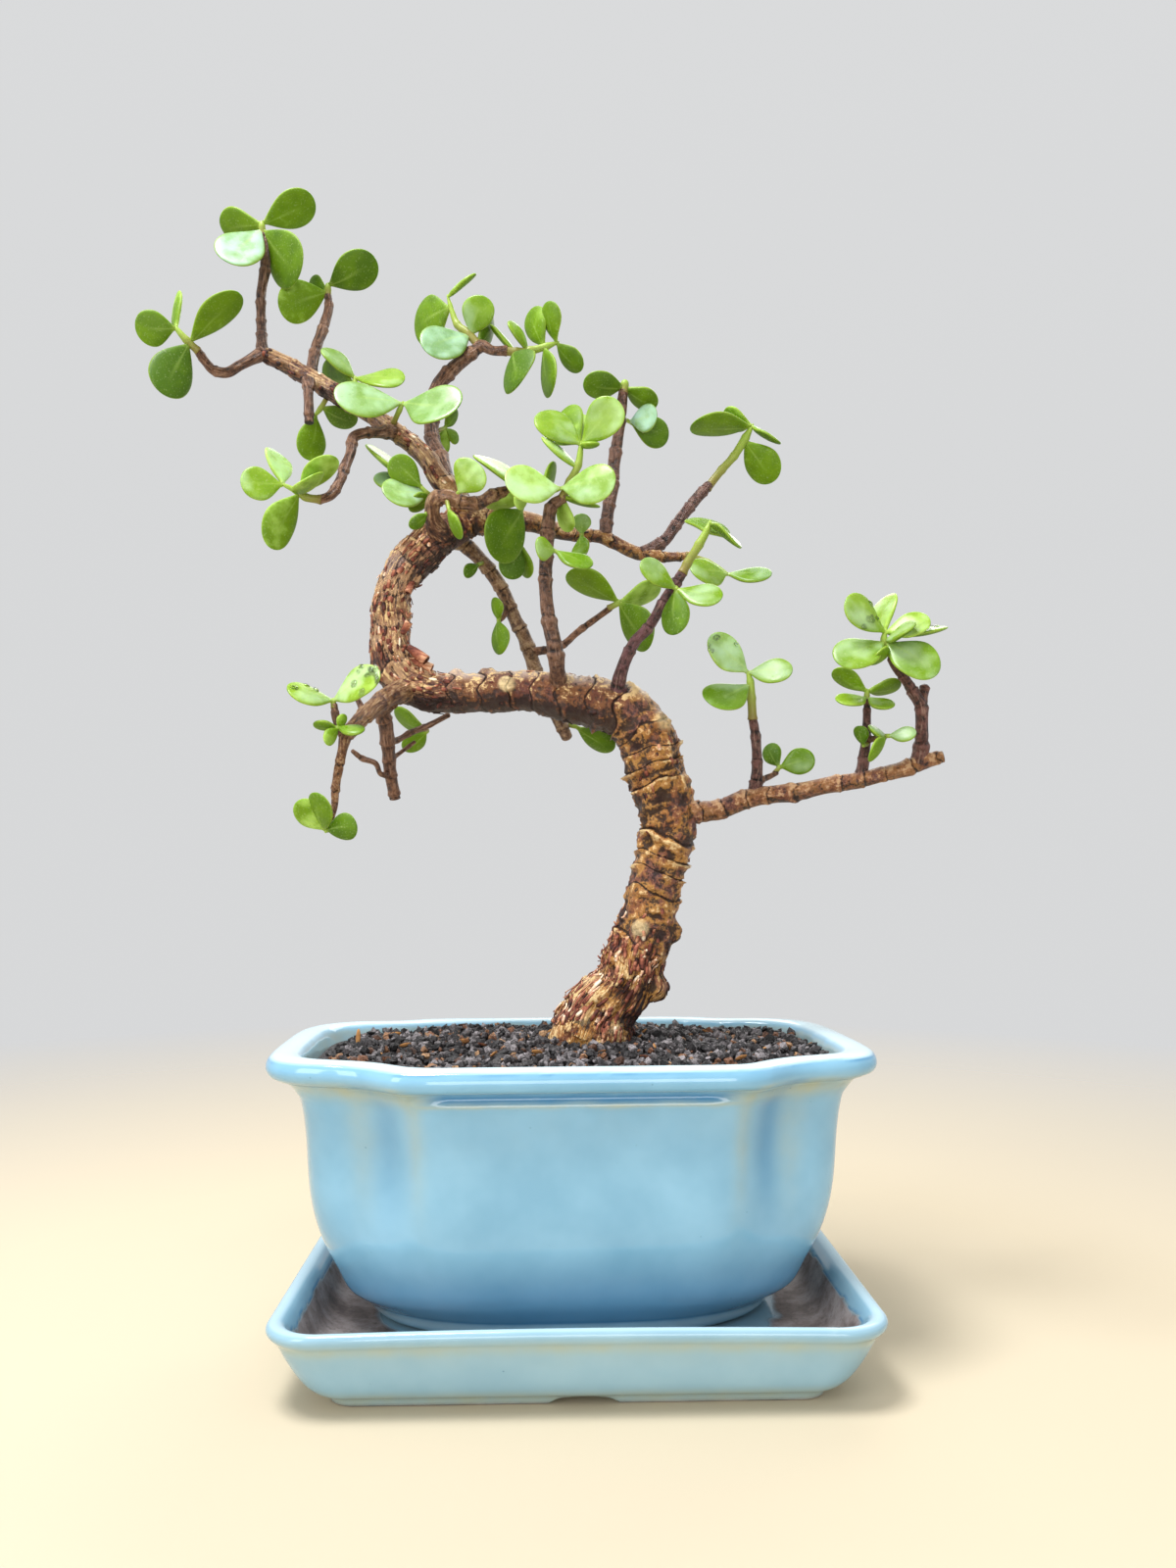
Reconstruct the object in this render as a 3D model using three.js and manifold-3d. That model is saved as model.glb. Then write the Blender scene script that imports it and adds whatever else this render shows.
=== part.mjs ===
// Dwarf jade bonsai growing in an indented, glazed pot that stands on its drip saucer.
// Millimetres, +Z up, the pot's long side along X. Heights are measured from the surface
// that the saucer's foot stands on. The finished group's origin is the middle of its box, at the foot.
import * as THREE from "three";
import { mergeVertices } from "three/addons/utils/BufferGeometryUtils.js";
import Module from "manifold-3d";

// Driving dimensions
const clearance = 0.3; // kept between pieces that touch
const weldDistance = 1e-4; // points closer than this are one point
const potHalfLength = 90.5;
const potHalfDepth = 59.5;
const potFootHeight = 9.8; // the foot's underside, on the saucer's floor
const potFloorHeight = 17;
const potDepthShare = 0.8; // how fast the pot's depth shrinks against its length, going down
const potInnerHalfLength = 52; // where the inner wall turns into the floor
const potFootHalfLength = 61; // at and inside this the pot's outline is the foot's
const potBodyHalfLength = 69; // at and outside this it is the body's
const drainHoleRadius = 6;
const drainHoleSpacing = 56;
const screenSize = 21;
const screenThickness = 0.9;
const screenCells = 4;
const screenOpening = 3;
const saucerHalfLength = 84.8;
const saucerHalfDepth = 62;
const saucerDepthShare = 0.72; // as the pot's, for the saucer
const saucerInnerHalfLength = 40;
const saucerCorner = 15;
const saucerFloorCorner = 5;
const saucerOffset = [1.1, -4.9];
const saucerTurn = -2; // degrees
const notchWidth = 18.5; // the vent notch across the saucer's foot ring
const notchHeight = 2.2;
const notchOffset = 1.2;
const soilEdgeHeight = 88.6;
const soilHalfLength = 78.5;
const soilHalfDepth = 50;
const soilMound = 2.8;
const treeTurn = -4; // degrees, the tree's plane against the pot's long side
const leafThickness = 2.2;
const leafBaseDraw = 0.85; // below 1 draws the leaf's rings away from its base
const leafTipDraw = 1.3; // above 1 moves its widest place towards the tip
const leafFullness = 0.8; // below 1 rounds its outline
const leafRooting = 0.9; // how far inside its shoot a leaf starts
const leafLevelSlope = 0.05; // an upward side that climbs less than this is taken to the right instead
const quarterSteps = 10; // facets in a quarter turn of the pot and the saucer
const trunkSides = 10;
const limbSides = 7;
const twigSides = 5;
const limbRadius = 5; // a limb thicker than this gets the trunk's facets
const twigRadius = 2; // one thinner than this gets a twig's
const ringSpacing = 9; // between the rings of a limb

// A quarter of the pot's outline from the middle of its front to the middle of its end, as shares
// of its half length and half depth: a straight front, a stepped-in corner and a slightly bowed end.
const potQuarter = [
  [0, -1], [0.47, -0.997], [0.56, -0.97], [0.62, -0.9], [0.69, -0.84], [0.78, -0.795],
  [0.88, -0.745], [0.945, -0.66], [0.983, -0.52], [0.998, -0.3], [1, 0],
];

// The same quarter at the pot's foot, nearer an ellipse.
const potFootQuarter = [
  [0, -0.95], [0.35, -0.92], [0.5, -0.87], [0.6, -0.81], [0.69, -0.745], [0.78, -0.65],
  [0.855, -0.54], [0.915, -0.42], [0.96, -0.29], [0.99, -0.15], [1, 0],
];

// Profiles as [half length, height], each from the axis underneath, round the rim, to the axis inside.
const potProfile = [
  [0, 12.4], [48, 12.4], [51, potFootHeight], [61, potFootHeight], [64.4, 15.4], [67, 19],
  [71.9, 28.4], [76.6, 39.6], [78.8, 51.6], [79.4, 66], [82, 80.2], [81.2, 82.2], [83, 84], [88.1, 84.9],
  [90.5, 87.2], [89.4, 90.4], [86, 91.5], [82.5, 91.4], [79.1, 86], [75.9, 78], [73.5, 60],
  [71.8, 42], [65.6, 26.5], [potInnerHalfLength, 18], [44, potFloorHeight], [0, potFloorHeight],
];
const saucerProfile = [
  [0, 3.2], [58.5, 3.2], [60.4, 0], [68, 0], [68.5, 2.1], [72, 3.4], [77, 8.6], [81.6, 17.4],
  [83, 20.2], [84.8, 22], [84, 23.7], [82, 24], [79, 22], [74.8, 12.8], [71.8, 10.2],
  [67.5, 9.5], [0, 9.5],
];
const soilProfile = [
  [0, potFloorHeight], [44, potFloorHeight], [potInnerHalfLength, 18], [65.6, 26.5], [71.8, 42],
  [73.5, 60], [75.9, 78], [78.7, soilEdgeHeight], [50, soilEdgeHeight], [25, soilEdgeHeight],
  [0, soilEdgeHeight],
];

// The woody growth. Each limb is a route of [x, y, height, radius], starting inside what it grows from.
const limbs = {
  trunk: [
    [6, 0, 92, 13.4], [10.3, 0, 101, 11.2], [17, 0, 109, 10], [21, 0, 119.5, 9.7],
    [24, 0, 127, 9.6], [25.5, 0, 134.5, 8.7], [27, 0, 141.5, 8.8], [29, 0, 149.5, 9.1],
    [31, -1, 159.5, 9.6], [28.5, -1, 170, 9.6], [26, -1, 178, 9.6], [24, -1, 186, 9.6],
    [19.5, -1, 193, 9.3], [14, -1, 196, 8.7], [6.5, -1, 197.5, 8.4], [-3, -1, 199.5, 7.7],
    [-13.5, 0, 201.5, 6.7], [-25.5, 0, 201, 6.5], [-35.5, 0, 201, 6.4], [-45.5, 0, 201.5, 6.4],
    [-52, 0, 204.5, 6.7], [-56, 0, 211, 7], [-57, 0, 219, 6.4], [-57, 0, 228, 6],
    [-55.5, 0, 234.5, 6], [-52, 0, 240.5, 6.4], [-47, 0, 245.5, 6.5], [-42, 0, 250, 6.2],
    [-36, 0, 253.5, 5.6],
  ],
  rightLimb: [
    [-36, 0, 253.5, 5.6], [-30.5, 3, 256, 4.7], [-19, 6, 257, 3.8], [-11, 7, 256.5, 3.2],
    [-2, 8, 253.5, 2.2], [9.5, 8, 252.5, 2.2], [20.5, 8, 247.5, 2.2], [25.5, 8, 246.5, 2],
    [34, 8, 246, 1.5], [38, 8, 246.5, 1.3],
  ],
  frontLimb: [
    [-40, -2, 249.5, 4.3], [-42, -7, 252, 3.2], [-42.5, -10, 254.5, 2.4], [-41.5, -12, 258, 2.4],
    [-38, -13, 259, 2.3], [-33.5, -13, 257.5, 2.2], [-28, -13, 257, 2.1], [-23, -12, 260, 1.9],
    [-17.5, -11, 261.5, 1.6], [-13, -11, 261, 1.3],
  ],
  crownLimb: [
    [-37.5, 0, 252.5, 5.6], [-35, 1, 257.5, 4.7], [-37, 2, 264, 3.9], [-42, 3, 269.5, 3.4],
    [-45.5, 4, 276, 3.3], [-50.5, 5, 281, 3.1], [-57.5, 6, 286.5, 3.1], [-61.5, 6, 289.5, 3],
    [-70, 7, 295, 3], [-78, 6, 299.5, 3], [-86, 5, 304, 2.8], [-94, 4, 308, 2.6],
    [-98.5, 3, 309.5, 2.3],
  ],
  leftTip: [
    [-98.5, 3, 309.5, 2.3], [-101, 1, 307, 1.8], [-104.5, -1, 304, 1.6], [-108, -3, 301, 1.6],
    [-111.5, -5, 301, 1.5], [-113.5, -6, 303, 1.4], [-116, -7, 306.5, 1.3],
  ],
  leader: [
    [-98.5, 3, 309.5, 2.2], [-98.5, 3, 313.5, 1.8], [-99, 4, 320.5, 1.6], [-99, 4, 329, 1.6],
    [-98, 5, 337.5, 1.6], [-98, 5, 343.5, 1.4], [-98.5, 5, 348.5, 1.1],
  ],
  backShoot: [
    [-83.5, 6, 303, 2.2], [-83.5, 9, 310, 1.8], [-82.5, 11, 316.5, 1.7], [-81, 13, 322.5, 1.7],
    [-79.5, 14, 329.5, 1.5], [-80, 15, 334, 1.2],
  ],
  cutStub: [
    [-83.5, 2, 300.5, 2.2], [-83, 0, 296, 1.6], [-82.5, -1, 286, 1.5],
  ],
  lowLeftLimb: [
    [-57, 4, 285, 2.4], [-60, -2, 282.5, 1.7], [-64, -6, 281, 1.6], [-67, -8, 279, 1.6],
    [-67.5, -11, 273, 1.6], [-69, -13, 267.5, 1.6], [-70, -15, 263, 1.5], [-72.5, -17, 258, 1.5],
    [-75.5, -18, 256.5, 1.3],
  ],
  forkLimb: [
    [-39.5, 4, 267, 3.1], [-42, 9, 277.5, 2.6], [-45.5, 12, 286.5, 2.4], [-45, 14, 298, 2.4],
    [-44, 15, 304, 2.4], [-38, 16, 311, 2.4], [-32.5, 17, 316, 2.1], [-29.5, 17, 318, 2],
    [-26, 17, 316.5, 1.6], [-21.5, 17, 316.5, 1.5],
  ],
  spike: [
    [11, 8, 253, 2.2], [12, 9, 261.5, 2], [13.5, 10, 269, 1.9], [14, 11, 277, 2],
    [15.5, 12, 288, 1.8], [16.5, 12, 296.5, 1.8], [17, 12, 301, 1.5],
  ],
  frontStem: [
    [-3.5, -4, 202, 3.4], [-4, -9, 206.5, 2.5], [-4.5, -11, 212, 2.4], [-6, -12, 219, 2.3],
    [-7, -13, 225.5, 2.1], [-7.5, -14, 234, 2.1], [-7, -15, 242.5, 2.1], [-6.5, -15, 250.5, 2.1],
    [-5.5, -15, 255.5, 1.8], [-2, -15, 258, 1.5],
  ],
  droopingLimb: [
    [-38, 5, 252.5, 4.1], [-36, 9, 251.5, 3], [-33, 11, 249.5, 2.6], [-28.5, 12, 245, 2.4],
    [-25, 13, 240.5, 2.3], [-21.5, 14, 234.5, 2.3], [-18.5, 15, 227.5, 2.3],
    [-15.5, 15, 221.5, 2.3], [-13, 15, 214.5, 2.3], [-11, 15, 208, 2.3], [-7.5, 14, 200.5, 2.3],
    [-4, 13, 194, 2.3], [-1.5, 12, 188.5, 2],
  ],
  droopingTwigLeft: [
    [-20.5, 14, 232.5, 1.3], [-22, 12, 227.5, 0.8], [-23.5, 11, 226, 0.7],
  ],
  droopingTwigRight: [
    [-13.5, 15, 216.5, 1.6], [-7.5, 13, 217, 1.2], [-3, 11, 218, 1.2], [2.5, 8, 222, 1.1],
    [9.5, 5, 226.5, 1], [12.5, 4, 228.5, 1],
  ],
  leaningStem: [
    [14.5, -4, 199, 2.8], [15.5, -9, 205, 2.1], [17.5, -11, 210.5, 1.8], [20, -12, 215, 1.8],
    [23.5, -13, 218.5, 1.7], [26, -14, 222, 1.7], [28.5, -15, 226.5, 1.6], [32, -16, 231.5, 1.6],
    [34, -17, 234.5, 1.5],
  ],
  rightHighLimb: [
    [22.5, 8, 247, 2.2], [27, 9, 249.5, 2], [30.5, 10, 252, 1.9], [34, 11, 257, 1.8],
    [38, 12, 262.5, 1.8], [41.5, 13, 267, 1.8], [45, 14, 271, 1.6],
  ],
  longLimb: [
    [33.5, -2, 162, 4.9], [38.5, -3, 163, 3.8], [45.5, -4, 163.5, 3.4], [55, -6, 167, 3.1],
    [64, -7, 168.5, 2.9], [70, -8, 169, 2.9], [79, -9, 171, 2.7], [88.5, -10, 172.5, 2.6],
    [97, -11, 174.5, 2.4], [103, -12, 176, 2.6], [108, -12, 178, 2.6], [114, -13, 179.5, 1.9],
  ],
  longStemOne: [
    [57, -6, 167.5, 2.4], [58, -6, 173, 2], [58, -7, 179, 1.6], [57.5, -7, 187, 1.5],
    [56.5, -8, 192, 1.4],
  ],
  longTwigOne: [
    [58, -6, 172.5, 1.4], [62, -3, 174, 1], [65, -1, 175.5, 0.8],
  ],
  longStemTwo: [
    [89, -10, 172.5, 2.3], [90, -10, 176, 1.9], [90.5, -11, 181, 1.7], [91, -11, 186.5, 1.5],
    [91, -12, 192.5, 1.2], [91, -12, 197, 1],
  ],
  longTwigTwo: [
    [91, -11, 184.5, 1.1], [93, -14, 185, 0.9], [95.5, -16, 185, 0.8],
  ],
  longStemThree: [
    [106.5, -12, 177, 2.9], [107.5, -12, 181, 2.4], [107.5, -13, 185.5, 2], [107.5, -13, 191, 1.9],
    [107, -14, 195, 1.9], [105, -14, 198.5, 1.8], [102.5, -15, 202, 1.5], [99, -16, 206, 1.3],
    [97.5, -16, 209, 1.3],
  ],
  longStub: [
    [107.5, -13, 194.5, 1.7], [108, -12, 197.5, 1.6], [109, -11, 201, 1.4],
  ],
  nearLimb: [
    [-52, -2, 201.5, 4.6], [-54.5, -10, 199, 3.3], [-58, -17, 195, 2.8], [-61.5, -23, 190, 2.5],
    [-64, -26, 186.5, 2.3], [-65.5, -28, 184, 1.9], [-66.5, -29, 179, 1.5], [-67.5, -30, 173, 1.4],
    [-68, -31, 168, 1.2], [-68, -32, 163.5, 1], [-69, -32, 159, 0.7],
  ],
  nearStem: [
    [-66, -28, 183.5, 1.4], [-67, -29, 185.5, 1.1], [-68, -30, 189, 1.1], [-68.5, -30, 193, 0.9],
  ],
  nearTwig: [
    [-61, -22, 191, 1.3], [-63, -21, 195, 0.9], [-65, -20, 198.5, 0.7],
  ],
  hangingStub: [
    [-56, -10, 197, 3], [-58.5, -6, 194, 2.5], [-58, -3, 190.5, 2.3], [-58, 2, 183.5, 2.2],
    [-58, 6, 176, 2.1], [-57, 9, 168, 1.8],
  ],
  backTwig: [
    [-58.5, 1, 185.5, 1.4], [-56, 6, 186.5, 1], [-52, 10, 189.5, 1], [-47, 13, 192, 1],
    [-40.5, 16, 196, 0.8],
  ],
  stubTwigRight: [
    [-58, 4, 180, 1.3], [-55.5, 8, 182.5, 0.7], [-51, 11, 186.5, 0.6],
  ],
  stubTwigLeft: [
    [-58, 6, 175.5, 1.3], [-60.5, 2, 175.5, 0.8], [-61.5, -1, 178.5, 0.9], [-65.5, -3, 180, 0.9],
    [-68, -5, 182, 0.7],
  ],
};

// Thick roots under the soil's surface, written as the limbs are.
const roots = {
  tapRoot: [[6, 0, 95, 12], [4, 0, 84, 13.5], [2, 1, 70, 9], [0, 2, 54, 5]],
  rootLeft: [[4, 0, 86, 8], [-10, -4, 79, 6.5], [-26, -7, 71, 4.6], [-40, -10, 60, 3]],
  rootRight: [[8, 0, 86, 8], [20, 4, 78, 6], [36, 9, 69, 4.2], [50, 12, 58, 2.8]],
  rootFront: [[5, -2, 85, 7.5], [2, -13, 78, 5.6], [-3, -24, 68, 4], [-5, -30, 56, 2.6]],
  rootBack: [[6, 2, 85, 7.5], [11, 14, 77, 5.4], [17, 25, 67, 3.8], [19, 31, 55, 2.6]],
};

// The green shoots. A shoot is a route like a limb's. A leaf is [shoot point it grows from,
// x, y, height of its tip, width, roll]: roll turns its upper face from facing the front (0)
// through facing up (90) to facing the back (180).
const sprigs = {
  crown_top: {
    shoot: [[-98.5, 5, 348, 1], [-99, 5, 351, 1], [-99, 5, 353, 0.8]],
    leaves: [
      [2, -82.5, 7, 360.5, 13, 120], [2, -114, 12, 354, 11.5, 125], [1, -107.5, -6, 334.5, 15, 0],
      [1, -86, 0, 332.5, 17, 140],
    ],
  },
  crown_back: {
    shoot: [[-80, 15, 333.5, 1.1], [-80, 15, 336, 1], [-80, 15, 338, 0.8]],
    leaves: [
      [2, -63.5, 10, 343.5, 13, 130], [1, -87, 18, 337.5, 9, 150], [1, -94.5, 9, 326.5, 13, 140],
    ],
  },
  crown_left: {
    shoot: [[-115.5, -7, 306, 1.2], [-118.5, -9, 308.5, 1.1], [-122, -10, 312.5, 0.8]],
    leaves: [
      [2, -133, -13, 311, 10.5, 150], [2, -124.5, 0, 326, 10, 128],
      [1, -101, -12, 321.5, 12, 108], [1, -123.5, -17, 289, 13.5, 140],
    ],
  },
  low_left: {
    shoot: [
      [-75, -18, 256.5, 1.3], [-79.5, -19, 257, 1.1], [-82, -20, 258.5, 0.9],
      [-86.5, -21, 260.5, 0.6],
    ],
    leaves: [
      [3, -90, -15, 272.5, 10, 55], [3, -97, -26, 259, 11, 8], [2, -69, -27, 266.5, 10, 112],
      [2, -74, -32, 259.5, 10.5, 75], [2, -89, -24, 240.5, 11, 130],
    ],
  },
  limb_under: {
    shoot: [[-78.5, 8, 298, 0.8], [-81.5, 10, 294.5, 0.8], [-83.5, 10, 292, 0.6]],
    leaves: [
      [2, -85.5, 8, 277.5, 10.5, 135], [1, -71, 17, 292.5, 9, 125],
    ],
  },
  limb_over: {
    shoot: [[-70.5, 8, 297, 1], [-70, 9, 302.5, 0.9], [-70, 9, 305, 0.8]],
    leaves: [
      [2, -80, 6, 312.5, 9, 45], [2, -53.5, 5, 301.5, 12.5, 45], [1, -83, 21, 309.5, 14, 135],
    ],
  },
  limb_front: {
    shoot: [[-56.5, 3, 287.5, 0.9], [-54, -1, 290, 0.8], [-52.5, -2, 292.5, 0.7]],
    leaves: [
      [2, -72.5, -11, 290.5, 16, 30], [2, -34, -12, 287, 17, 20],
    ],
  },
  fork_left: {
    shoot: [
      [-30.5, 17, 318, 1.4], [-34, 18, 322.5, 1.4], [-38, 20, 326.5, 1.2], [-40.5, 21, 333.5, 0.8],
      [-41.5, 21, 337, 0.7],
    ],
    leaves: [
      [4, -31.5, 18, 342.5, 7, 65], [3, -54, 33, 330.5, 17, 180], [1, -28, 13, 332.5, 11, 0],
      [1, -47.5, 8, 313, 15, 15], [0, -26.5, 26, 331, 11.5, 110],
    ],
  },
  fork_right: {
    shoot: [
      [-22.5, 17, 316.5, 1.4], [-18, 17, 316, 1.4], [-13.5, 17, 316.5, 1.3], [-8, 17, 318, 1.1],
      [-4, 17, 319.5, 0.8],
    ],
    leaves: [
      [2, -20.5, 14, 325, 8, 60], [3, -14, 21, 331.5, 11, 130], [4, -7.5, 13, 331, 9, 125],
      [4, 3.5, 18, 310.5, 8.5, 125], [3, -6.5, 13, 300.5, 13, 115], [1, -16.5, 6, 301, 16, 140],
      [1, -26.5, 22, 326, 10, 75],
    ],
  },
  spike_top: {
    shoot: [[17, 12, 300.5, 1.4], [17.5, 12, 303.5, 1.2], [17.5, 12, 305, 1]],
    leaves: [
      [1, 4, 8, 302.5, 10, 125], [1, 28, 16, 297.5, 9.5, 115],
    ],
  },
  spike_back: {
    shoot: [[16.5, 12, 292.5, 0.7], [18.5, 16, 293, 0.6], [20, 17, 292.5, 0.6]],
    leaves: [
      [2, 28, 11, 293, 9.5, 0], [2, 32.5, 23, 290, 10.5, 180],
    ],
  },
  mid_pale: {
    shoot: [[-2.5, -15, 257.5, 1.4], [0, -15, 263, 1.2], [2.5, -15, 268, 1.1], [3.5, -15, 275, 1]],
    leaves: [
      [3, 15, -21, 284.8, 12.5, 15], [3, -10, -15, 283.5, 13, 30],
      [2, -8.5, -18, 275.5, 10, 65], [3, -3, -4, 288, 13, 150], [3, 4.5, -2, 288, 12, 155],
      [3, 8, -21, 272.5, 5.5, 65], [0, 9, -18, 254.5, 9, 75], [0, -1.5, -7, 250, 8, 130],
    ],
  },
  mid_gloss: {
    shoot: [[-14, -11, 261, 1.2], [-7.5, -14, 260, 1], [-2, -17, 260.5, 0.8]],
    leaves: [
      [2, -19, -25, 259.5, 14, 20], [2, 13.5, -27, 258.5, 13.5, 15], [0, -29.5, -12, 272, 14, 60],
      [1, -4.5, -7, 270, 9.5, 105], [0, -16.5, -15, 255.5, 5.5, 130],
      [0, -26.5, -4, 258.5, 10.5, 105],
    ],
  },
  mid_left: {
    shoot: [[-34, -12, 258.5, 0.8], [-34, -15, 260, 0.7]],
    leaves: [
      [1, -27.5, -18, 267.5, 12.5, 10],
    ],
  },
  mid_drop: {
    shoot: [[-37.5, -14, 257.5, 0.7], [-36.5, -17, 253.5, 0.5]],
    leaves: [
      [1, -32.5, -18, 245, 6.5, 115],
    ],
  },
  right_high: {
    shoot: [
      [44.5, 14, 270, 1.4], [49.5, 15, 276.5, 1.3], [53.5, 15, 281, 1.3], [57.5, 16, 287.5, 1.4],
      [60, 16, 292, 0.9],
    ],
    leaves: [
      [4, 39, 13, 290, 14.5, 102], [4, 50.5, 20, 296, 11, 105], [4, 68, 11, 284, 8.5, 65],
      [3, 67.5, 21, 274.5, 12, 145],
    ],
  },
  right_tip: {
    shoot: [
      [34, -17, 234.5, 1.4], [35.5, -17, 237.5, 1.3], [39, -18, 243, 1.3], [41.5, -18, 247.5, 1.1],
      [42.5, -18, 250.5, 0.7],
    ],
    leaves: [
      [3, 44, -5, 254, 15, 180], [4, 50, -25, 240.5, 10.5, 75],
    ],
  },
  right_node: {
    shoot: [[32, -16, 230.5, 0.9], [32, -20, 229, 0.8]],
    leaves: [
      [1, 21, -24, 236, 9.5, 35], [1, 45, -25, 225, 10.5, 35], [1, 31.5, -22, 215, 10, 145],
    ],
  },
  right_low: {
    shoot: [[37, 8, 246.5, 1.2], [44, 7, 244, 1], [51, 6, 239.5, 0.8]],
    leaves: [
      [2, 38, -3, 238.5, 11.5, 25], [2, 64, 2, 239, 10, 50],
    ],
  },
  heart_right: {
    shoot: [[12, 4, 228.5, 1], [15, 3, 230, 0.9], [16, 3, 231, 0.8]],
    leaves: [
      [2, -1, -2, 238.5, 14, 115], [2, 29, 9, 235.5, 10.5, 125], [2, 25, -3, 215, 14, 135],
    ],
  },
  heart_front: {
    shoot: [[-16.5, 3, 257.5, 0.8], [-15, -3, 259, 0.7]],
    leaves: [
      [1, -24.5, -7, 242.5, 17, 140],
    ],
  },
  heart_low: {
    shoot: [[-17, 6, 254.5, 0.9], [-18, 6, 251, 0.7]],
    leaves: [
      [1, -19.5, 7, 238.5, 9, 155], [1, -15, 15, 241, 10, 120],
    ],
  },
  stem_node: {
    shoot: [[-6.5, -15, 242, 0.8], [-4, -20, 240.5, 0.6]],
    leaves: [
      [1, -10, -24, 240.5, 7.5, 0], [1, 6.5, -23, 235, 8.5, 45],
    ],
  },
  limb_bud: {
    shoot: [[3.5, 7, 252, 0.8], [3.5, 3, 252, 0.7]],
    leaves: [
      [1, 3.5, 1, 258, 6, 0], [1, 3, -1, 243, 7, 40],
    ],
  },
  back_twig: {
    shoot: [[-22.5, 12, 227.5, 0.7], [-24, 10, 225.5, 0.6]],
    leaves: [
      [1, -24.5, 8, 233, 5.5, 135], [1, -22, 6, 214.5, 8.5, 140],
    ],
  },
  back_leaf: {
    shoot: [[-28.5, 11, 245, 0.7], [-30, 6, 243, 0.6]],
    leaves: [
      [1, -34, 3, 239, 4.5, 140],
    ],
  },
  cluster: {
    shoot: [[-43, -1, 262.5, 0.9], [-45, -4, 263, 0.7], [-47, -5, 265, 0.7]],
    leaves: [
      [2, -55.5, -9, 272, 9, 180], [1, -61.5, 2, 271, 14, 55], [1, -57, -13, 260, 12, 20],
      [2, -64, 5, 281, 15.5, 75], [0, -50.5, -6, 258, 7, 120],
    ],
  },
  cluster_low: {
    shoot: [[-42, -10, 255.5, 0.6], [-44.5, -12, 254, 0.5]],
    leaves: [
      [1, -49, -14, 249.5, 4.5, 135],
    ],
  },
  behind_fork: {
    shoot: [[-44, 13, 288.5, 0.8], [-41.5, 18, 291.5, 0.6]],
    leaves: [
      [1, -44.5, 21, 283, 7, 135], [1, -38, 22, 288, 4.5, 30], [1, -38, 20, 298, 5.5, 120],
    ],
  },
  long_left: {
    shoot: [[56.5, -8, 191.5, 1.4], [56, -9, 198, 1.3], [55.5, -10, 203, 1.1], [54.5, -10, 206.5, 0.8]],
    leaves: [
      [3, 42.5, -14, 216, 11.5, 20], [3, 67.5, -16, 205, 10, 30], [2, 41.5, -18, 195.5, 13, 35],
    ],
  },
  long_twig: {
    shoot: [[64.5, -1, 175.5, 0.8], [66.5, 0, 178, 0.7]],
    leaves: [
      [1, 63, 4, 185, 6.5, 150], [1, 76.5, -4, 180, 8.5, 0],
    ],
  },
  long_mid: {
    shoot: [[91, -12, 196, 0.9], [91, -12, 198.5, 0.8], [91, -12, 200.5, 0.7]],
    leaves: [
      [2, 80.5, -12, 206, 8.5, 115], [2, 102, -9, 201.5, 8.5, 115], [1, 81, -18, 195.5, 8.5, 55],
      [1, 97.5, -18, 194, 7, 45],
    ],
  },
  long_side: {
    shoot: [[95, -15, 185.5, 0.8], [97, -17, 185.5, 0.6]],
    leaves: [
      [1, 104, -20, 186, 5.5, 30], [0, 90, -20, 187.5, 5.5, 55], [0, 89.5, -21, 178.5, 8, 120],
    ],
  },
  long_bud: {
    shoot: [[91, -12, 183.5, 0.7], [89, -15, 182.5, 0.5]],
    leaves: [
      [1, 87.5, -17, 188.5, 5, 135],
    ],
  },
  long_end: {
    shoot: [
      [98, -16, 208.5, 1.2], [96.5, -16.5, 212, 1.1], [95, -17, 214.5, 1], [95.5, -17, 217.5, 0.8],
    ],
    leaves: [
      [3, 82, -23, 225, 12, 30], [3, 97.5, -7, 229.5, 11.5, 65], [3, 108, -21, 219.5, 10, 35],
      [3, 115, -9, 220, 15.5, 70], [2, 102, -26, 217, 8.5, 65], [2, 79.5, -23, 206.5, 13.5, 40],
      [1, 90, -22.5, 207.5, 7, 115], [2, 108, -26, 202, 13.5, 15],
    ],
  },
  near_top: {
    shoot: [[-68.5, -30, 192, 0.9], [-69, -30, 195, 0.7]],
    leaves: [
      [1, -54, -36, 201, 12.5, 35], [1, -80, -39, 196, 10.5, 55],
    ],
  },
  near_node: {
    shoot: [[-67.5, -29, 186, 0.7], [-67, -33, 186, 0.6]],
    leaves: [
      [1, -73.5, -35, 187, 5, 115], [1, -59, -36, 184.5, 6.5, 60], [1, -69.5, -37, 181, 4.5, 130],
      [1, -65, -31, 190, 3.5, 125],
    ],
  },
  near_low: {
    shoot: [[-69, -32, 159.5, 0.7], [-70.5, -33, 155.5, 0.6]],
    leaves: [
      [1, -78, -36, 164.5, 9, 150], [1, -70.5, -41, 166.5, 10, 135], [1, -60.5, -37, 157.5, 8, 180],
    ],
  },
  back_low: {
    shoot: [[-47.5, 13, 191.5, 0.8], [-47.5, 17, 190.5, 0.7]],
    leaves: [
      [1, -59, 20, 197.5, 10, 120], [1, -55.5, 21, 184.5, 7.5, 140],
    ],
  },
  arch_back: {
    shoot: [[-3, 13, 193, 0.9], [2.5, 13, 191.5, 0.7]],
    leaves: [
      [1, 14, 16, 184.5, 10, 135],
    ],
  },
};

const wasm = await Module();
wasm.setup();

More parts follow.
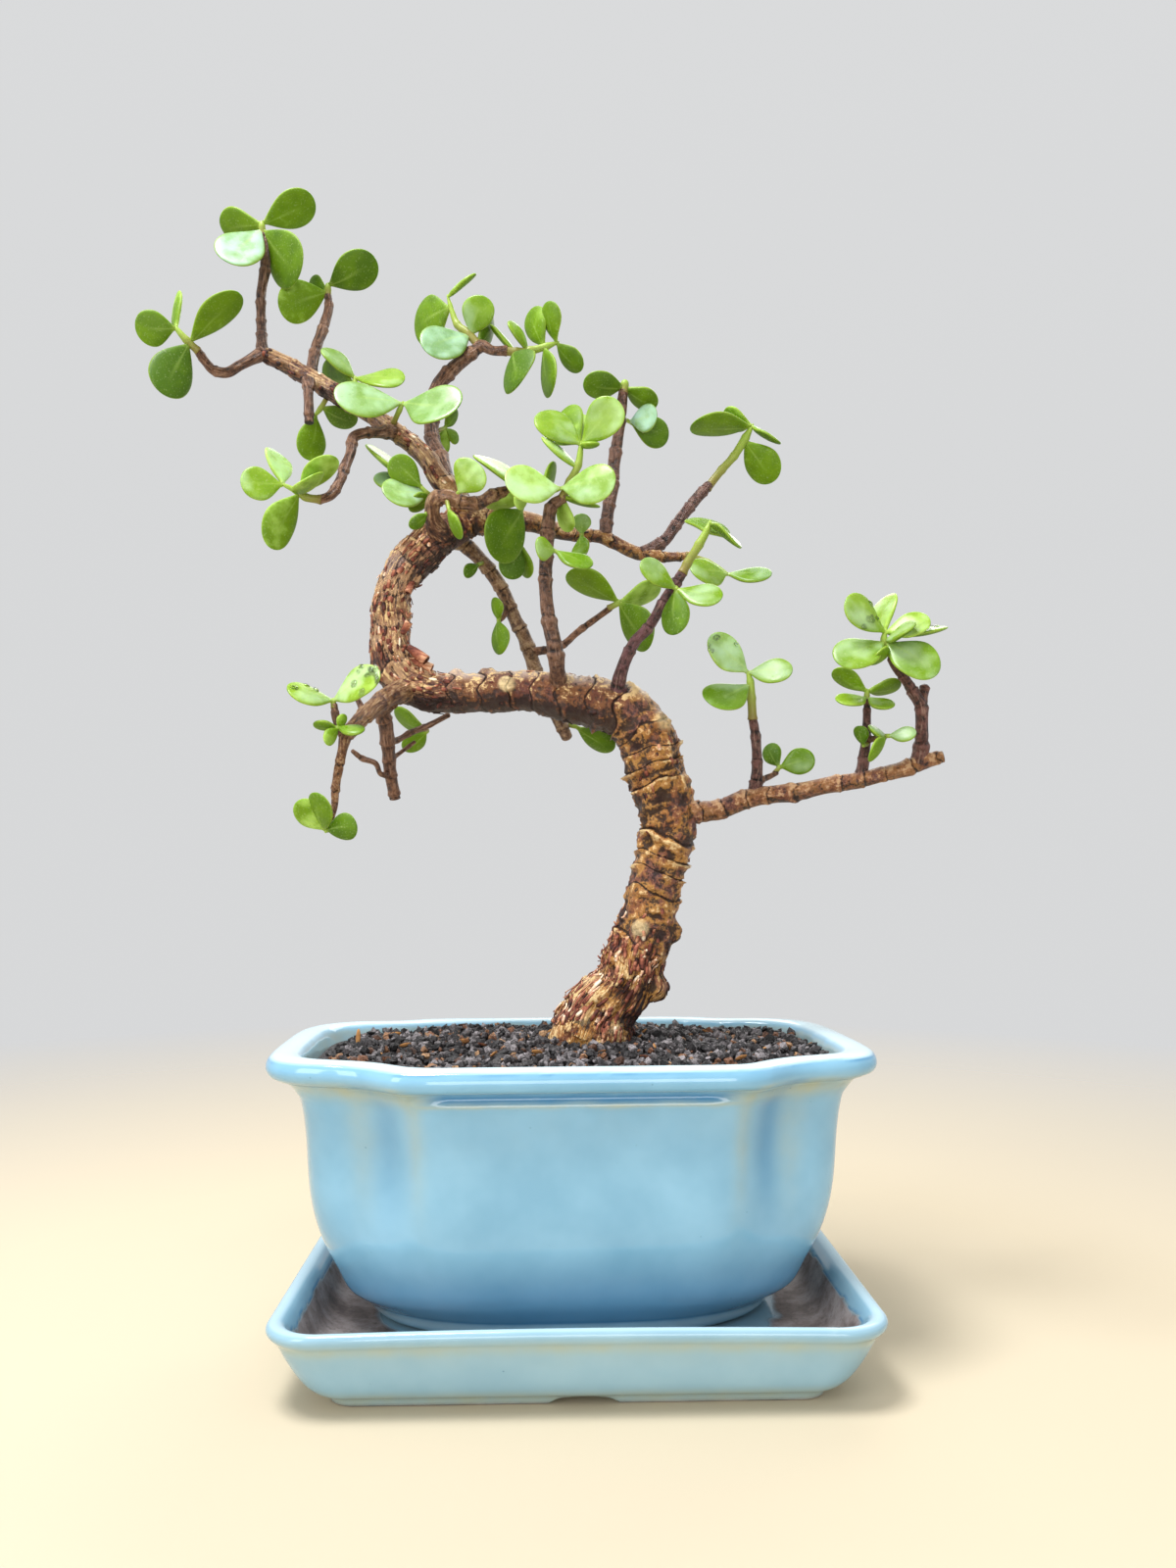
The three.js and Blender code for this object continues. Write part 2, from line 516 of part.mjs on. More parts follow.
const glaze = { color: 0x8fc3dc, roughness: 0.15, metalness: 0 };
const looks = {
  pot: new THREE.MeshStandardMaterial(glaze),
  saucer: new THREE.MeshStandardMaterial({ ...glaze, color: 0x9dbfc0 }),
  soil: new THREE.MeshStandardMaterial({ color: 0x2e2b2c, roughness: 0.95, metalness: 0 }),
  screen: new THREE.MeshStandardMaterial({ color: 0x1c1c1c, roughness: 0.6, metalness: 0 }),
  bark: new THREE.MeshStandardMaterial({ color: 0xa97a4a, roughness: 0.85, metalness: 0 }),
  leaf: new THREE.MeshStandardMaterial({ color: 0x7fae3a, roughness: 0.35, metalness: 0 }),
};

// A closed geometry as a solid for joining and cutting.
function solidOf(geometry) {
  geometry.deleteAttribute("normal");
  geometry.deleteAttribute("uv");
  const merged = mergeVertices(geometry, weldDistance);
  return new wasm.Manifold(
    new wasm.Mesh({
      numProp: 3,
      vertProperties: merged.attributes.position.array,
      triVerts: new Uint32Array(merged.index.array),
    }),
  );
}

// A solid as a named mesh.
function meshOf(name, solid, material) {
  const made = solid.getMesh();
  const geometry = new THREE.BufferGeometry();
  geometry.setAttribute("position", new THREE.BufferAttribute(made.vertProperties, 3));
  geometry.setIndex(new THREE.BufferAttribute(made.triVerts, 1));
  geometry.computeVertexNormals();
  const mesh = new THREE.Mesh(geometry, material);
  mesh.name = name;
  return mesh;
}

const join = (solids) => solids.reduce((sum, solid) => sum.add(solid));

// A turned profile whose rings are reshaped: outline(share of the quarter, half length) gives the
// first quarter's point, and the other three quarters mirror it.
function turned(profile, outline) {
  const points = profile.map(([radius, height]) => new THREE.Vector2(radius, height));
  const geometry = new THREE.LatheGeometry(points, 4 * quarterSteps);
  geometry.rotateX(Math.PI / 2);
  const places = geometry.attributes.position;
  for (let i = 0; i < places.count; i++) {
    const radius = Math.hypot(places.getX(i), places.getY(i));
    const step = Math.round((Math.atan2(places.getX(i), -places.getY(i)) * 2 * quarterSteps) / Math.PI);
    const turn = (step + 4 * quarterSteps) % (4 * quarterSteps);
    const half = Math.min(turn, 4 * quarterSteps - turn);
    const quarterStep = Math.min(half, 2 * quarterSteps - half);
    const [x, y] = radius < weldDistance ? [0, 0] : outline(quarterStep, radius);
    const sideX = turn > 2 * quarterSteps ? -1 : 1;
    const sideY = half > quarterSteps ? -1 : 1;
    places.setXY(i, sideX * x, sideY * y);
  }
  return geometry;
}

// The pot's outline at a half length, with its depth shrinking more slowly than its length and its
// corners filling towards the foot's. Rings inside the flat floor shrink evenly to the axis.
function potOutline(step, halfLength) {
  const floor = potInnerHalfLength;
  const depthAt = (length) => potHalfDepth - potDepthShare * (potHalfLength - length);
  const halfDepth = halfLength > floor ? depthAt(halfLength) : (depthAt(floor) * halfLength) / floor;
  const body = THREE.MathUtils.smoothstep(halfLength, potFootHalfLength, potBodyHalfLength);
  const x = THREE.MathUtils.lerp(potFootQuarter[step][0], potQuarter[step][0], body);
  const y = THREE.MathUtils.lerp(potFootQuarter[step][1], potQuarter[step][1], body);
  return [x * halfLength, y * halfDepth];
}

// The saucer's rounded rectangle at a half length: one facet along half the front, eight round
// the corner and one along half the end.
function saucerOutline(step, halfLength) {
  const floor = saucerInnerHalfLength;
  const inset = saucerHalfLength - Math.max(halfLength, floor);
  const shrink = Math.min(1, halfLength / floor);
  const halfDepth = (saucerHalfDepth - saucerDepthShare * inset) * shrink;
  const corner = Math.max(saucerCorner - inset / 2, saucerFloorCorner) * shrink;
  if (step === 0) return [0, -halfDepth];
  if (step === quarterSteps) return [halfLength, 0];
  const angle = ((step - 1) / (quarterSteps - 2)) * (Math.PI / 2);
  return [
    halfLength - corner + corner * Math.sin(angle),
    -(halfDepth - corner + corner * Math.cos(angle)),
  ];
}

// A tapering tube along a route, thicker all round by extra.
function tube(route, sides, spacing = ringSpacing, extra = 0) {
  const path = new THREE.CatmullRomCurve3(route.map(([x, y, z]) => new THREE.Vector3(x, y, z)));
  const steps = Math.max(route.length - 1, Math.round(path.getLength() / spacing));
  const thread = 0.25; // the tube is swept this thin, then each ring is grown to its radius
  const circle = new THREE.Shape();
  for (let i = 0; i < sides; i++) {
    const angle = (i / sides) * 2 * Math.PI;
    const [x, y] = [thread * Math.cos(angle), thread * Math.sin(angle)];
    if (i) circle.lineTo(x, y);
    else circle.moveTo(x, y);
  }
  const geometry = new THREE.ExtrudeGeometry(circle, { steps, extrudePath: path, bevelEnabled: false });
  const centres = path.getSpacedPoints(steps);
  const radii = centres.map((_, i) => {
    const along = path.getUtoTmapping(i / steps) * (route.length - 1);
    const from = Math.min(Math.floor(along), route.length - 2);
    return THREE.MathUtils.lerp(route[from][3], route[from + 1][3], along - from) + extra;
  });
  const places = geometry.attributes.position;
  const place = new THREE.Vector3();
  for (let i = 0; i < places.count; i++) {
    place.fromBufferAttribute(places, i);
    let ring = 0;
    centres.forEach((centre, j) => {
      if (centre.distanceToSquared(place) < centres[ring].distanceToSquared(place)) ring = j;
    });
    place.sub(centres[ring]).multiplyScalar(radii[ring] / thread).add(centres[ring]);
    places.setXYZ(i, place.x, place.y, place.z);
  }
  return solidOf(geometry);
}

// A succulent leaf from base to tip: a flattened six-sided lens, widest past its middle.
function leaf(base, tip, width, roll) {
  const along = tip.clone().sub(base);
  const length = along.length();
  along.normalize();
  const facing = new THREE.Vector3(0, -1, 0).addScaledVector(along, along.y).normalize();
  const upward = new THREE.Vector3().crossVectors(facing, along);
  const isLevel = Math.abs(upward.z) <= leafLevelSlope;
  if (isLevel ? upward.x < 0 : upward.z < 0) upward.negate();
  const turn = THREE.MathUtils.degToRad(roll);
  const normal = facing.multiplyScalar(Math.cos(turn)).addScaledVector(upward, Math.sin(turn));
  const across = new THREE.Vector3().crossVectors(normal, along);
  const geometry = new THREE.SphereGeometry(1, 6, 3);
  const places = geometry.attributes.position;
  for (let i = 0; i < places.count; i++) {
    const share = Math.pow((1 - places.getY(i)) / 2, leafBaseDraw);
    const ring = Math.hypot(places.getX(i), places.getZ(i)) || 1;
    const swell = Math.pow(Math.max(Math.sin(Math.PI * Math.pow(share, leafTipDraw)), 0), leafFullness);
    const wide = (places.getX(i) / ring) * swell * (width / 2);
    const thick = (places.getZ(i) / ring) * Math.sqrt(swell) * (leafThickness / 2);
    const place = base.clone().addScaledVector(along, share * length);
    place.addScaledVector(across, wide).addScaledVector(normal, thick);
    places.setXYZ(i, place.x, place.y, place.z);
  }
  return solidOf(geometry);
}

// A shoot with its leaves, trimmed where it leaves the bark.
function sprig({ shoot, leaves }, bark) {
  const pieces = [tube(shoot, twigSides, Infinity)];
  for (const [point, x, y, z, width, roll] of leaves) {
    const node = new THREE.Vector3(...shoot[point].slice(0, 3));
    const inward = new THREE.Vector3(...shoot[point ? point - 1 : 1].slice(0, 3)).sub(node);
    const base = node.addScaledVector(inward, leafRooting / inward.length());
    pieces.push(leaf(base, new THREE.Vector3(x, y, z), width, roll));
  }
  const parts = join(pieces).subtract(bark).decompose();
  return parts.sort((a, b) => b.volume() - a.volume())[0];
}

function pot() {
  const body = solidOf(turned(potProfile, potOutline));
  const holes = [-1, 1].map((side) => {
    const hole = new THREE.CylinderGeometry(drainHoleRadius, drainHoleRadius, 2 * potFootHeight, 16);
    hole.rotateX(Math.PI / 2);
    hole.translate((side * drainHoleSpacing) / 2, 0, (potFootHeight + potFloorHeight) / 2);
    return solidOf(hole);
  });
  return meshOf("pot", body.subtract(join(holes)), looks.pot);
}

function saucer() {
  const body = solidOf(turned(saucerProfile, saucerOutline));
  const arch = new THREE.Shape();
  arch.moveTo(-notchWidth / 2, -1);
  arch.lineTo(notchWidth / 2, -1);
  arch.lineTo(notchWidth / 2, 0);
  arch.quadraticCurveTo(notchWidth / 3, notchHeight, 0, notchHeight);
  arch.quadraticCurveTo(-notchWidth / 3, notchHeight, -notchWidth / 2, 0);
  const depth = 2 * saucerHalfDepth;
  const notch = new THREE.ExtrudeGeometry(arch, { depth, curveSegments: 4, bevelEnabled: false });
  notch.rotateX(Math.PI / 2);
  notch.translate(notchOffset, saucerHalfDepth, 0);
  const mesh = meshOf("saucer", body.subtract(solidOf(notch)), looks.saucer);
  mesh.position.set(...saucerOffset, 0);
  mesh.rotation.z = THREE.MathUtils.degToRad(saucerTurn);
  return mesh;
}

// A square of plastic mesh over a drain hole.
function drainScreen(name, side) {
  const plate = new THREE.BoxGeometry(screenSize, screenSize, screenThickness);
  const cells = [];
  const pitch = screenSize / (screenCells + 0.5);
  for (let i = 0; i < screenCells; i++) {
    for (let j = 0; j < screenCells; j++) {
      const cell = new THREE.BoxGeometry(screenOpening, screenOpening, 3 * screenThickness);
      cell.translate((i - (screenCells - 1) / 2) * pitch, (j - (screenCells - 1) / 2) * pitch, 0);
      cells.push(solidOf(cell));
    }
  }
  const mesh = meshOf(name, solidOf(plate).subtract(join(cells)), looks.screen);
  const height = potFloorHeight + clearance + screenThickness / 2;
  mesh.position.set((side * drainHoleSpacing) / 2, 0, height);
  return mesh;
}

// The root ball's grit, mounded to the trunk, with room for the roots and the drain screens.
function soil(rootRoom) {
  const profile = soilProfile.map(([radius, height]) => {
    const lift = height < soilEdgeHeight ? clearance : 0;
    return [Math.max(0, radius - 2 * clearance), height + lift];
  });
  const geometry = turned(profile, potOutline);
  const places = geometry.attributes.position;
  for (let i = 0; i < places.count; i++) {
    if (places.getZ(i) < soilEdgeHeight - weldDistance) continue;
    const edge = Math.hypot(places.getX(i) / soilHalfLength, places.getY(i) / soilHalfDepth);
    places.setZ(i, soilEdgeHeight + soilMound * Math.max(0, 1 - edge * edge));
  }
  const screens = [-1, 1].map((side) => {
    const size = screenSize + 2 * clearance;
    const room = new THREE.BoxGeometry(size, size, 2 * (screenThickness + 2 * clearance));
    room.translate((side * drainHoleSpacing) / 2, 0, potFloorHeight);
    return solidOf(room);
  });
  return meshOf("soil", solidOf(geometry).subtract(join([...screens, rootRoom])), looks.soil);
}

// The tree's solids, thicker by extra.
function wood(routes, extra) {
  return Object.values(routes).map((route) => {
    const thickest = Math.max(...route.map((point) => point[3]));
    const thin = thickest > twigRadius ? limbSides : twigSides;
    const sides = thickest > limbRadius ? trunkSides : thin;
    return tube(route, sides, ringSpacing, extra);
  });
}

const upright = new THREE.Group();
upright.rotation.z = THREE.MathUtils.degToRad(treeTurn);
upright.add(meshOf("tree", join([...wood(limbs, 0), ...wood(roots, 0)]), looks.bark));
const bark = join(wood(limbs, clearance));
for (const [name, growth] of Object.entries(sprigs)) {
  upright.add(meshOf("sprig_" + name, sprig(growth, bark), looks.leaf));
}

const spin = new THREE.Matrix4().makeRotationZ(THREE.MathUtils.degToRad(treeTurn));
const rootRoom = join([...wood(roots, clearance), bark]).transform(spin.elements);

const planted = new THREE.Group();
planted.add(saucer(), pot(), soil(rootRoom), upright);
planted.add(drainScreen("drain_screen_left", -1), drainScreen("drain_screen_right", 1));

const bonsai = new THREE.Group();
bonsai.name = "dwarf_jade_bonsai";
const box = new THREE.Box3().setFromObject(planted, true);
planted.position.set(-(box.min.x + box.max.x) / 2, -(box.min.y + box.max.y) / 2, -box.min.z);
bonsai.add(planted);

export default bonsai;
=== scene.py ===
# Dwarf jade bonsai in a sky blue glazed pot, standing on its drip saucer.
# The tables are in millimetres and the meshes in metres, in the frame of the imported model.
import math

import bpy
import numpy as np
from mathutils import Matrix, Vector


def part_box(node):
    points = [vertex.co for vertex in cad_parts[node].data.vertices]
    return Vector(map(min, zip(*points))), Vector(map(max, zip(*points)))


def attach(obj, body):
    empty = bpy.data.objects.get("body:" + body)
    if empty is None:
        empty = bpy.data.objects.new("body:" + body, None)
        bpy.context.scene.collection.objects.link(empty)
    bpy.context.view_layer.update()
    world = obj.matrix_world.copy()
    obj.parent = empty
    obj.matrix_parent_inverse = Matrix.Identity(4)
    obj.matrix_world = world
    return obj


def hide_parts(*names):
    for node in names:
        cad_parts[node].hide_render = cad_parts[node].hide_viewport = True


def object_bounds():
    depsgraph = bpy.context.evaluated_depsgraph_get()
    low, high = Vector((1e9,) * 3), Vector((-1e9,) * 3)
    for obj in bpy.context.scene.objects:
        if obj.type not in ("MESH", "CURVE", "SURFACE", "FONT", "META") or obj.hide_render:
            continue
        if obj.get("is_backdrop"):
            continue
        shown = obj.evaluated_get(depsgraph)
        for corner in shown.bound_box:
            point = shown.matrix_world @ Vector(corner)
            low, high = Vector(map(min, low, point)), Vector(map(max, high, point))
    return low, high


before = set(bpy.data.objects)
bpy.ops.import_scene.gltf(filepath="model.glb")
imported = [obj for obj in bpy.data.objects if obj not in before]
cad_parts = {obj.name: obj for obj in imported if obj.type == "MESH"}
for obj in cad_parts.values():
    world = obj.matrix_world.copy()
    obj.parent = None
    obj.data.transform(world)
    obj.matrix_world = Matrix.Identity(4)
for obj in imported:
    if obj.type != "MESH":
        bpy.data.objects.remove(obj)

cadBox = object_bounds()
scene = bpy.context.scene
print("frame loaded:", len(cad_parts), "nodes")

fullTurn = 2 * math.pi
millimetre = 0.001
treeTurn = -4  # degrees, the tree's plane against the pot's long side
faceKeys = ("quads", "triangles")


def middleOf(node):
    # the middle of a node's box on the table plane, in millimetres
    low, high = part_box(node)
    return (np.array(low) + np.array(high))[:2] / 2 / millimetre


potMiddle = middleOf("pot")


def turned(points, degrees, middle=potMiddle):
    # turns points about the upright axis and then moves the axis to middle
    angle = math.radians(degrees)
    x, y, z = np.moveaxis(np.asarray(points, float), -1, 0)
    return np.stack([
        x * math.cos(angle) - y * math.sin(angle) + middle[0],
        x * math.sin(angle) + y * math.cos(angle) + middle[1],
        z,
    ], axis=-1)


def smoothStep(low, high, value):
    # 0 below low, 1 above high, 3t^2 - 2t^3 between
    share = np.clip((value - low) / (high - low), 0, 1)
    return share * share * (3 - 2 * share)


def bell(value, middle, width):
    # exp(-d^2), with d the distance from middle in widths
    return np.exp(-((value - middle) / width) ** 2)


def bands(value, rows):
    # the sum of strength exp(-d^2) over rows of [middle, width, strength]
    return sum(strength * bell(value, middle, width) for middle, width, strength in rows)


def unit(vectors):
    # each vector divided by its length
    return vectors / np.linalg.norm(vectors, axis=-1, keepdims=True)


def around(angle, first, second):
    # cos a first + sin a second, an arrow at angle a in the plane of the two
    return np.cos(angle)[..., None] * first + np.sin(angle)[..., None] * second


def noise(points, seed):
    # smooth random heights from -1 to 1: the eight corner values of a unit lattice, blended by 3t^2 - 2t^3
    cell = np.floor(points).astype(np.int64)
    share = points - cell
    share = share * share * (3 - 2 * share)
    total = np.zeros(points.shape[:-1])
    for corner in np.ndindex(2, 2, 2):
        key = ((cell + corner) * np.array([73856093, 19349663, 83492791])).sum(-1) + seed * 9176
        key = (key ^ (key >> 13)) * 1274126177 & 0x7FFFFFFF
        key = (key ^ (key >> 15)) * 668265263 & 0x7FFFFFFF
        weight = np.where(corner, share, 1 - share).prod(-1)
        total += weight * (key / 0x3FFFFFFF - 1)
    return total


def smoothPath(knots, spacing, fine=24):
    # through the knots: on each span the cubic whose end slopes are those of the parabola through
    # three neighbouring knots, with spans timed by the root of their length; then even steps along it
    knots = np.asarray(knots, float)
    padded = np.vstack([2 * knots[0] - knots[1], knots, 2 * knots[-1] - knots[-2]])
    span = np.sqrt(np.linalg.norm(np.diff(padded[:, :3], axis=0), axis=1)).clip(1e-3)[:, None]
    step = np.diff(padded, axis=0) / span
    slope = (step[:-1] * span[1:] + step[1:] * span[:-1]) / (span[:-1] + span[1:])
    t = np.linspace(0, 1, fine, endpoint=False)[None, :, None]
    start, end = knots[:-1, None], knots[1:, None]
    leave, arrive = slope[:-1, None] * span[1:-1, None], slope[1:, None] * span[1:-1, None]
    curve = (
        (2 * t**3 - 3 * t**2 + 1) * start + (t**3 - 2 * t**2 + t) * leave
        + (3 * t**2 - 2 * t**3) * end + (t**3 - t**2) * arrive
    ).reshape(-1, knots.shape[1])
    curve = np.vstack([curve, knots[-1]])
    walked = np.append(0, np.cumsum(np.linalg.norm(np.diff(curve[:, :3], axis=0), axis=1)))
    marks = np.linspace(0, walked[-1], max(int(round(walked[-1] / spacing)), 3) + 1)
    return np.stack([np.interp(marks, walked, column) for column in curve.T], axis=-1)


def shells(rings, **facts):
    # any number of grids of rings, each closed round its columns, whose first and last rings are drawn
    # to a pole each; facts are grids of values that go with the points
    count, rows, columns = rings.shape[:3]
    at = np.arange(rows * columns).reshape(rows, columns)
    after = np.roll(at, -1, axis=1)
    first, last = rows * columns + 0 * at[0], rows * columns + 1 + 0 * at[0]
    quads = np.stack([at[:-1], after[:-1], after[1:], at[1:]], axis=-1).reshape(-1, 4)
    triangles = np.vstack([
        np.stack([after[0], at[0], first], axis=-1), np.stack([at[-1], after[-1], last], axis=-1),
    ])

    def flat(value):
        value = np.broadcast_to(value, rings.shape[:3] + np.shape(value)[3:])
        poles = np.stack([value[:, 0].mean(1), value[:, -1].mean(1)], axis=1)
        grid = value.reshape((count, rows * columns) + value.shape[3:])
        return np.concatenate([grid, poles], axis=1).reshape((-1,) + value.shape[3:])

    start = np.arange(count)[:, None, None] * (rows * columns + 2)
    return {
        "points": flat(rings),
        "quads": (quads + start).reshape(-1, 4),
        "triangles": (triangles + start).reshape(-1, 3),
    } | {key: flat(value) for key, value in facts.items()}


def shell(rings, **facts):
    # one such grid
    return shells(rings[None], **{key: np.asarray(value)[None] for key, value in facts.items()})


def joined(shells):
    # several shells as one, with the faces renumbered
    starts = np.cumsum([0] + [len(part["points"]) for part in shells])
    return {
        key: np.concatenate([
            part[key] + (start if key in faceKeys else 0) for part, start in zip(shells, starts)
        ])
        for key in shells[0]
    }


def addPiece(name, made, material, replaces=(), smooth=True, staged=False):
    # puts a shell's points, faces and facts into a mesh, and rides it on the body
    mesh = bpy.data.meshes.new(name)
    quads, triangles = made["quads"], made["triangles"]
    mesh.vertices.add(len(made["points"]))
    mesh.vertices.foreach_set("co", (made["points"] * millimetre).astype(np.float32).ravel())
    mesh.loops.add(quads.size + triangles.size)
    mesh.loops.foreach_set("vertex_index", np.append(quads, triangles).astype(np.int32))
    mesh.polygons.add(len(quads) + len(triangles))
    starts = np.append(np.arange(len(quads)) * 4, quads.size + np.arange(len(triangles)) * 3)
    mesh.polygons.foreach_set("loop_start", starts.astype(np.int32))
    mesh.update(calc_edges=True)
    mesh.validate()
    for key, value in made.items():
        if key in faceKeys + ("points",):
            continue
        kind, field = ("FLOAT", "value") if value.ndim == 1 else ("FLOAT_VECTOR", "vector")
        attribute = mesh.attributes.new(key, kind, "POINT")
        attribute.data.foreach_set(field, value.astype(np.float32).ravel())
    mesh.polygons.foreach_set("use_smooth", np.full(len(mesh.polygons), smooth))
    mesh.materials.append(material)
    piece = bpy.data.objects.new(name, mesh)
    scene.collection.objects.link(piece)
    if staged:
        piece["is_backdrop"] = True
        return piece
    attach(piece, "root")
    if replaces:
        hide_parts(*replaces)
    return piece


def colour(code):
    # an sRGB hex code as linear red, green, blue and a full alpha
    shares = [int(code[i:i + 2], 16) / 255 for i in (1, 3, 5)]
    return [c / 12.92 if c <= 0.04045 else ((c + 0.055) / 1.055) ** 2.4 for c in shares] + [1]


def principled(tree):
    return tree.nodes["Principled BSDF"].inputs


def newMaterial(name, **settings):
    # a material with one Principled shader, whose sockets take the settings
    material = bpy.data.materials.new(name)
    material.use_nodes = True
    for socket, value in settings.items():
        principled(material.node_tree)[socket.replace("_", " ")].default_value = value
    return material, material.node_tree


def plug(tree, **outputs):
    # links outputs to sockets of the Principled shader
    for socket, output in outputs.items():
        tree.links.new(output, principled(tree)[socket.replace("_", " ")])


def add(tree, kind, inputs=(), **settings):
    # a node with its settings; inputs maps a socket to a value or to another node's output
    made = tree.nodes.new("ShaderNode" + kind)
    for key, value in settings.items():
        setattr(made, key, value)
    for socket, value in dict(inputs).items():
        if isinstance(value, bpy.types.NodeSocket):
            tree.links.new(value, made.inputs[socket])
        else:
            made.inputs[socket].default_value = value
    return made


def fact(tree, name, output="Fac"):
    # an attribute of the mesh
    return add(tree, "Attribute", attribute_name=name).outputs[output]


def mixed(tree, share, first, second, blend="MIX"):
    # two colours mixed; each is a hex code or an output
    first, second = (colour(each) if isinstance(each, str) else each for each in (first, second))
    inputs = {0: share, 6: first, 7: second}
    return add(tree, "Mix", inputs, data_type="RGBA", blend_type=blend, clamp_factor=True).outputs[2]


def layered(tree, paint, layers):
    # colours laid over paint one after another, each by its share
    for share, over in layers:
        paint = mixed(tree, share, paint, over)
    return paint


def ramp(tree, share, stops):
    # a colour by share, from stops of [place, hex code]
    made = add(tree, "ValToRGB", {"Fac": share})
    elements = made.color_ramp.elements
    while len(elements) < len(stops):
        elements.new(1)
    for stop, (place, code) in zip(elements, stops):
        stop.position = place
        stop.color = colour(code)
    return made.outputs["Color"]


def ranged(tree, value, low, high, start=0.0, end=1.0):
    # low to high stretched to start to end
    return add(tree, "MapRange", {
        "Value": value, "From Min": low, "From Max": high, "To Min": start, "To Max": end,
    }).outputs[0]


def maths(tree, operation, first, *others):
    # an operation on first and each of the others in turn, or on first alone
    for other in others or (0,):
        first = add(tree, "Math", {0: first, 1: other}, operation=operation).outputs[0]
    return first


def summed(tree, *values):
    return maths(tree, "ADD", *values)


def product(tree, *values):
    return maths(tree, "MULTIPLY", *values)


def objectPlace(tree):
    return add(tree, "TexCoord").outputs["Object"]


def clouds(tree, place, scale, detail, roughness=0.5, distortion=0):
    # cloudy noise round 0.5, with scale in cells to a unit of place
    return add(tree, "TexNoise", {
        "Vector": place, "Scale": scale, "Detail": detail, "Roughness": roughness, "Distortion": distortion,
    }).outputs["Fac"]


def bumped(tree, height, strength, distance):
    # the surface tilted by height, with distance in metres
    bump = add(tree, "Bump", {"Height": height, "Strength": strength, "Distance": distance})
    return bump.outputs["Normal"]


# Camera: eye level a little above the rim, looking along the tree's front.
cameraPlan = {
    "place": (5.5, -383, 144.5),  # from the pot's axis, in the tree's own plane
    "focal": 27.79,
    "filmWidth": 36,
    "drop": 0.0556,  # share of the film that the view is shifted by
}
lens = bpy.data.cameras.new("camera")
lens.lens = cameraPlan["focal"]
lens.sensor_width = cameraPlan["filmWidth"]
lens.shift_y = cameraPlan["drop"]
lens.clip_start = 0.01
camera = bpy.data.objects.new("camera", lens)
scene.collection.objects.link(camera)
camera.location = turned([cameraPlan["place"]], treeTurn)[0] * millimetre
camera.rotation_euler = (math.pi / 2, 0, math.radians(treeTurn))
scene.camera = camera
scene.view_settings.view_transform = "Standard"

# Studio: a pale floor that fades into a pale surround, brighter overhead, and four soft lamps.
studio = {
    "floorRadius": 1600,
    "floorRings": 24,
    "floorColumns": 96,
    "fade": (0.22, 0.8),  # metres from the middle between which the floor fades away
    "floorColour": "#CEC0A6",
    "surround": "#EAEBEC",
    "surroundStrength": (0.83, 0.88),  # at the horizon and overhead
    # name: place in metres, width and height in metres, watts, colour
    "lamps": {
        "skyLamp": ((-0.25, -0.2, 1.0), (0.32, 0.3), 10.2, "#FAFCFF"),
        "windowLamp": ((-0.8, -0.7, 0.5), (0.4, 0.6), 3.7, "#FFFFFF"),
        "frontLamp": ((0.08, -1.15, 0.14), (0.7, 0.4), 4.4, "#FFFFFF"),
        "backLamp": ((0.3, 0.8, 0.8), (0.7, 0.5), 3.4, "#FFFDF6"),
    },
    "aim": (0.0, 0.0, 0.15),
}
world = bpy.data.worlds.new("surround")
world.use_nodes = True
background = world.node_tree.nodes["Background"]
background.inputs["Color"].default_value = colour(studio["surround"])
heading = add(world.node_tree, "TexCoord").outputs["Generated"]
upward = add(world.node_tree, "SeparateXYZ", {"Vector": heading}).outputs["Z"]
brightness = ranged(world.node_tree, upward, 0.25, 1, *studio["surroundStrength"])
world.node_tree.links.new(brightness, background.inputs["Strength"])
scene.world = world
for name, (place, size, power, tint) in studio["lamps"].items():
    lamp = bpy.data.lights.new(name, "AREA")
    lamp.shape = "RECTANGLE"
    lamp.size, lamp.size_y = size
    lamp.energy = power
    lamp.color = colour(tint)[:3]
    holder = bpy.data.objects.new(name, lamp)
    holder.location = place
    aim = np.array(studio["aim"]) - place
    tilt = math.atan2(math.hypot(*aim[:2]), -aim[2])
    holder.rotation_euler = (tilt, 0, math.atan2(aim[1], aim[0]) - math.pi / 2)
    scene.collection.objects.link(holder)


def floorSheet():
    # rings of radius r = R s^2 for s from 0.04 to 1, all at height zero
    share = np.linspace(0.04, 1, studio["floorRings"])[:, None]
    angle = np.linspace(0, fullTurn, studio["floorColumns"], endpoint=False)[None]
    made = shell(studio["floorRadius"] * share[..., None] ** 2 * around(angle, [1, 0, 0], [0, 1, 0]))
    made["triangles"] = made["triangles"][:studio["floorColumns"]]
    return made


# Matt paper floor: it lets the surround through towards its edge, so that no horizon shows.
floorPaper, tree = newMaterial("floorPaper", Roughness=0.9, Base_Color=colour(studio["floorColour"]))
distance = add(tree, "VectorMath", {0: objectPlace(tree)}, operation="LENGTH").outputs["Value"]
plug(tree, Alpha=ranged(tree, distance, *studio["fade"], 1, 0))
addPiece("floor", floorSheet(), floorPaper, staged=True)
print("camera, lamps and floor made")

# Stoneware under a thick sky blue gloss glaze, brushed and fired: it breaks to olive beige where it runs
# thin over an edge, deepens where it gathers, and has a few pinholes; it is also painted darker down the
# belly, under the lip and in the right flutes as painted shade, and painted pale on the lip's and rim's
# tops and the foot bead as painted highlights.
glazeLook = {
    "sky": "#7AACC7",
    "pale": "#93C3DC",
    # glaze that pools, also used as painted shade down the belly, under the lip and in the right flutes
    "deep": "#3A7CA8",
    "olive": "#A2AB98",
    # pale colour of painted highlights on the lip's and saucer rim's tops and on the foot bead, and of the
    # saucer's chip
    "milk": "#CFE8F0",
    "hole": "#4F7F95",
    "clay": ("#8C7B6C", "#6E6055"),
    "grime": "#2B2522",  # in a stained floor
    "roughness": (0.08, 0.75),  # glazed and bare
    "blotch": 24,  # millimetres, the size of a cloud in the colour
    "pinhole": 5.5,  # millimetres between pinholes
}


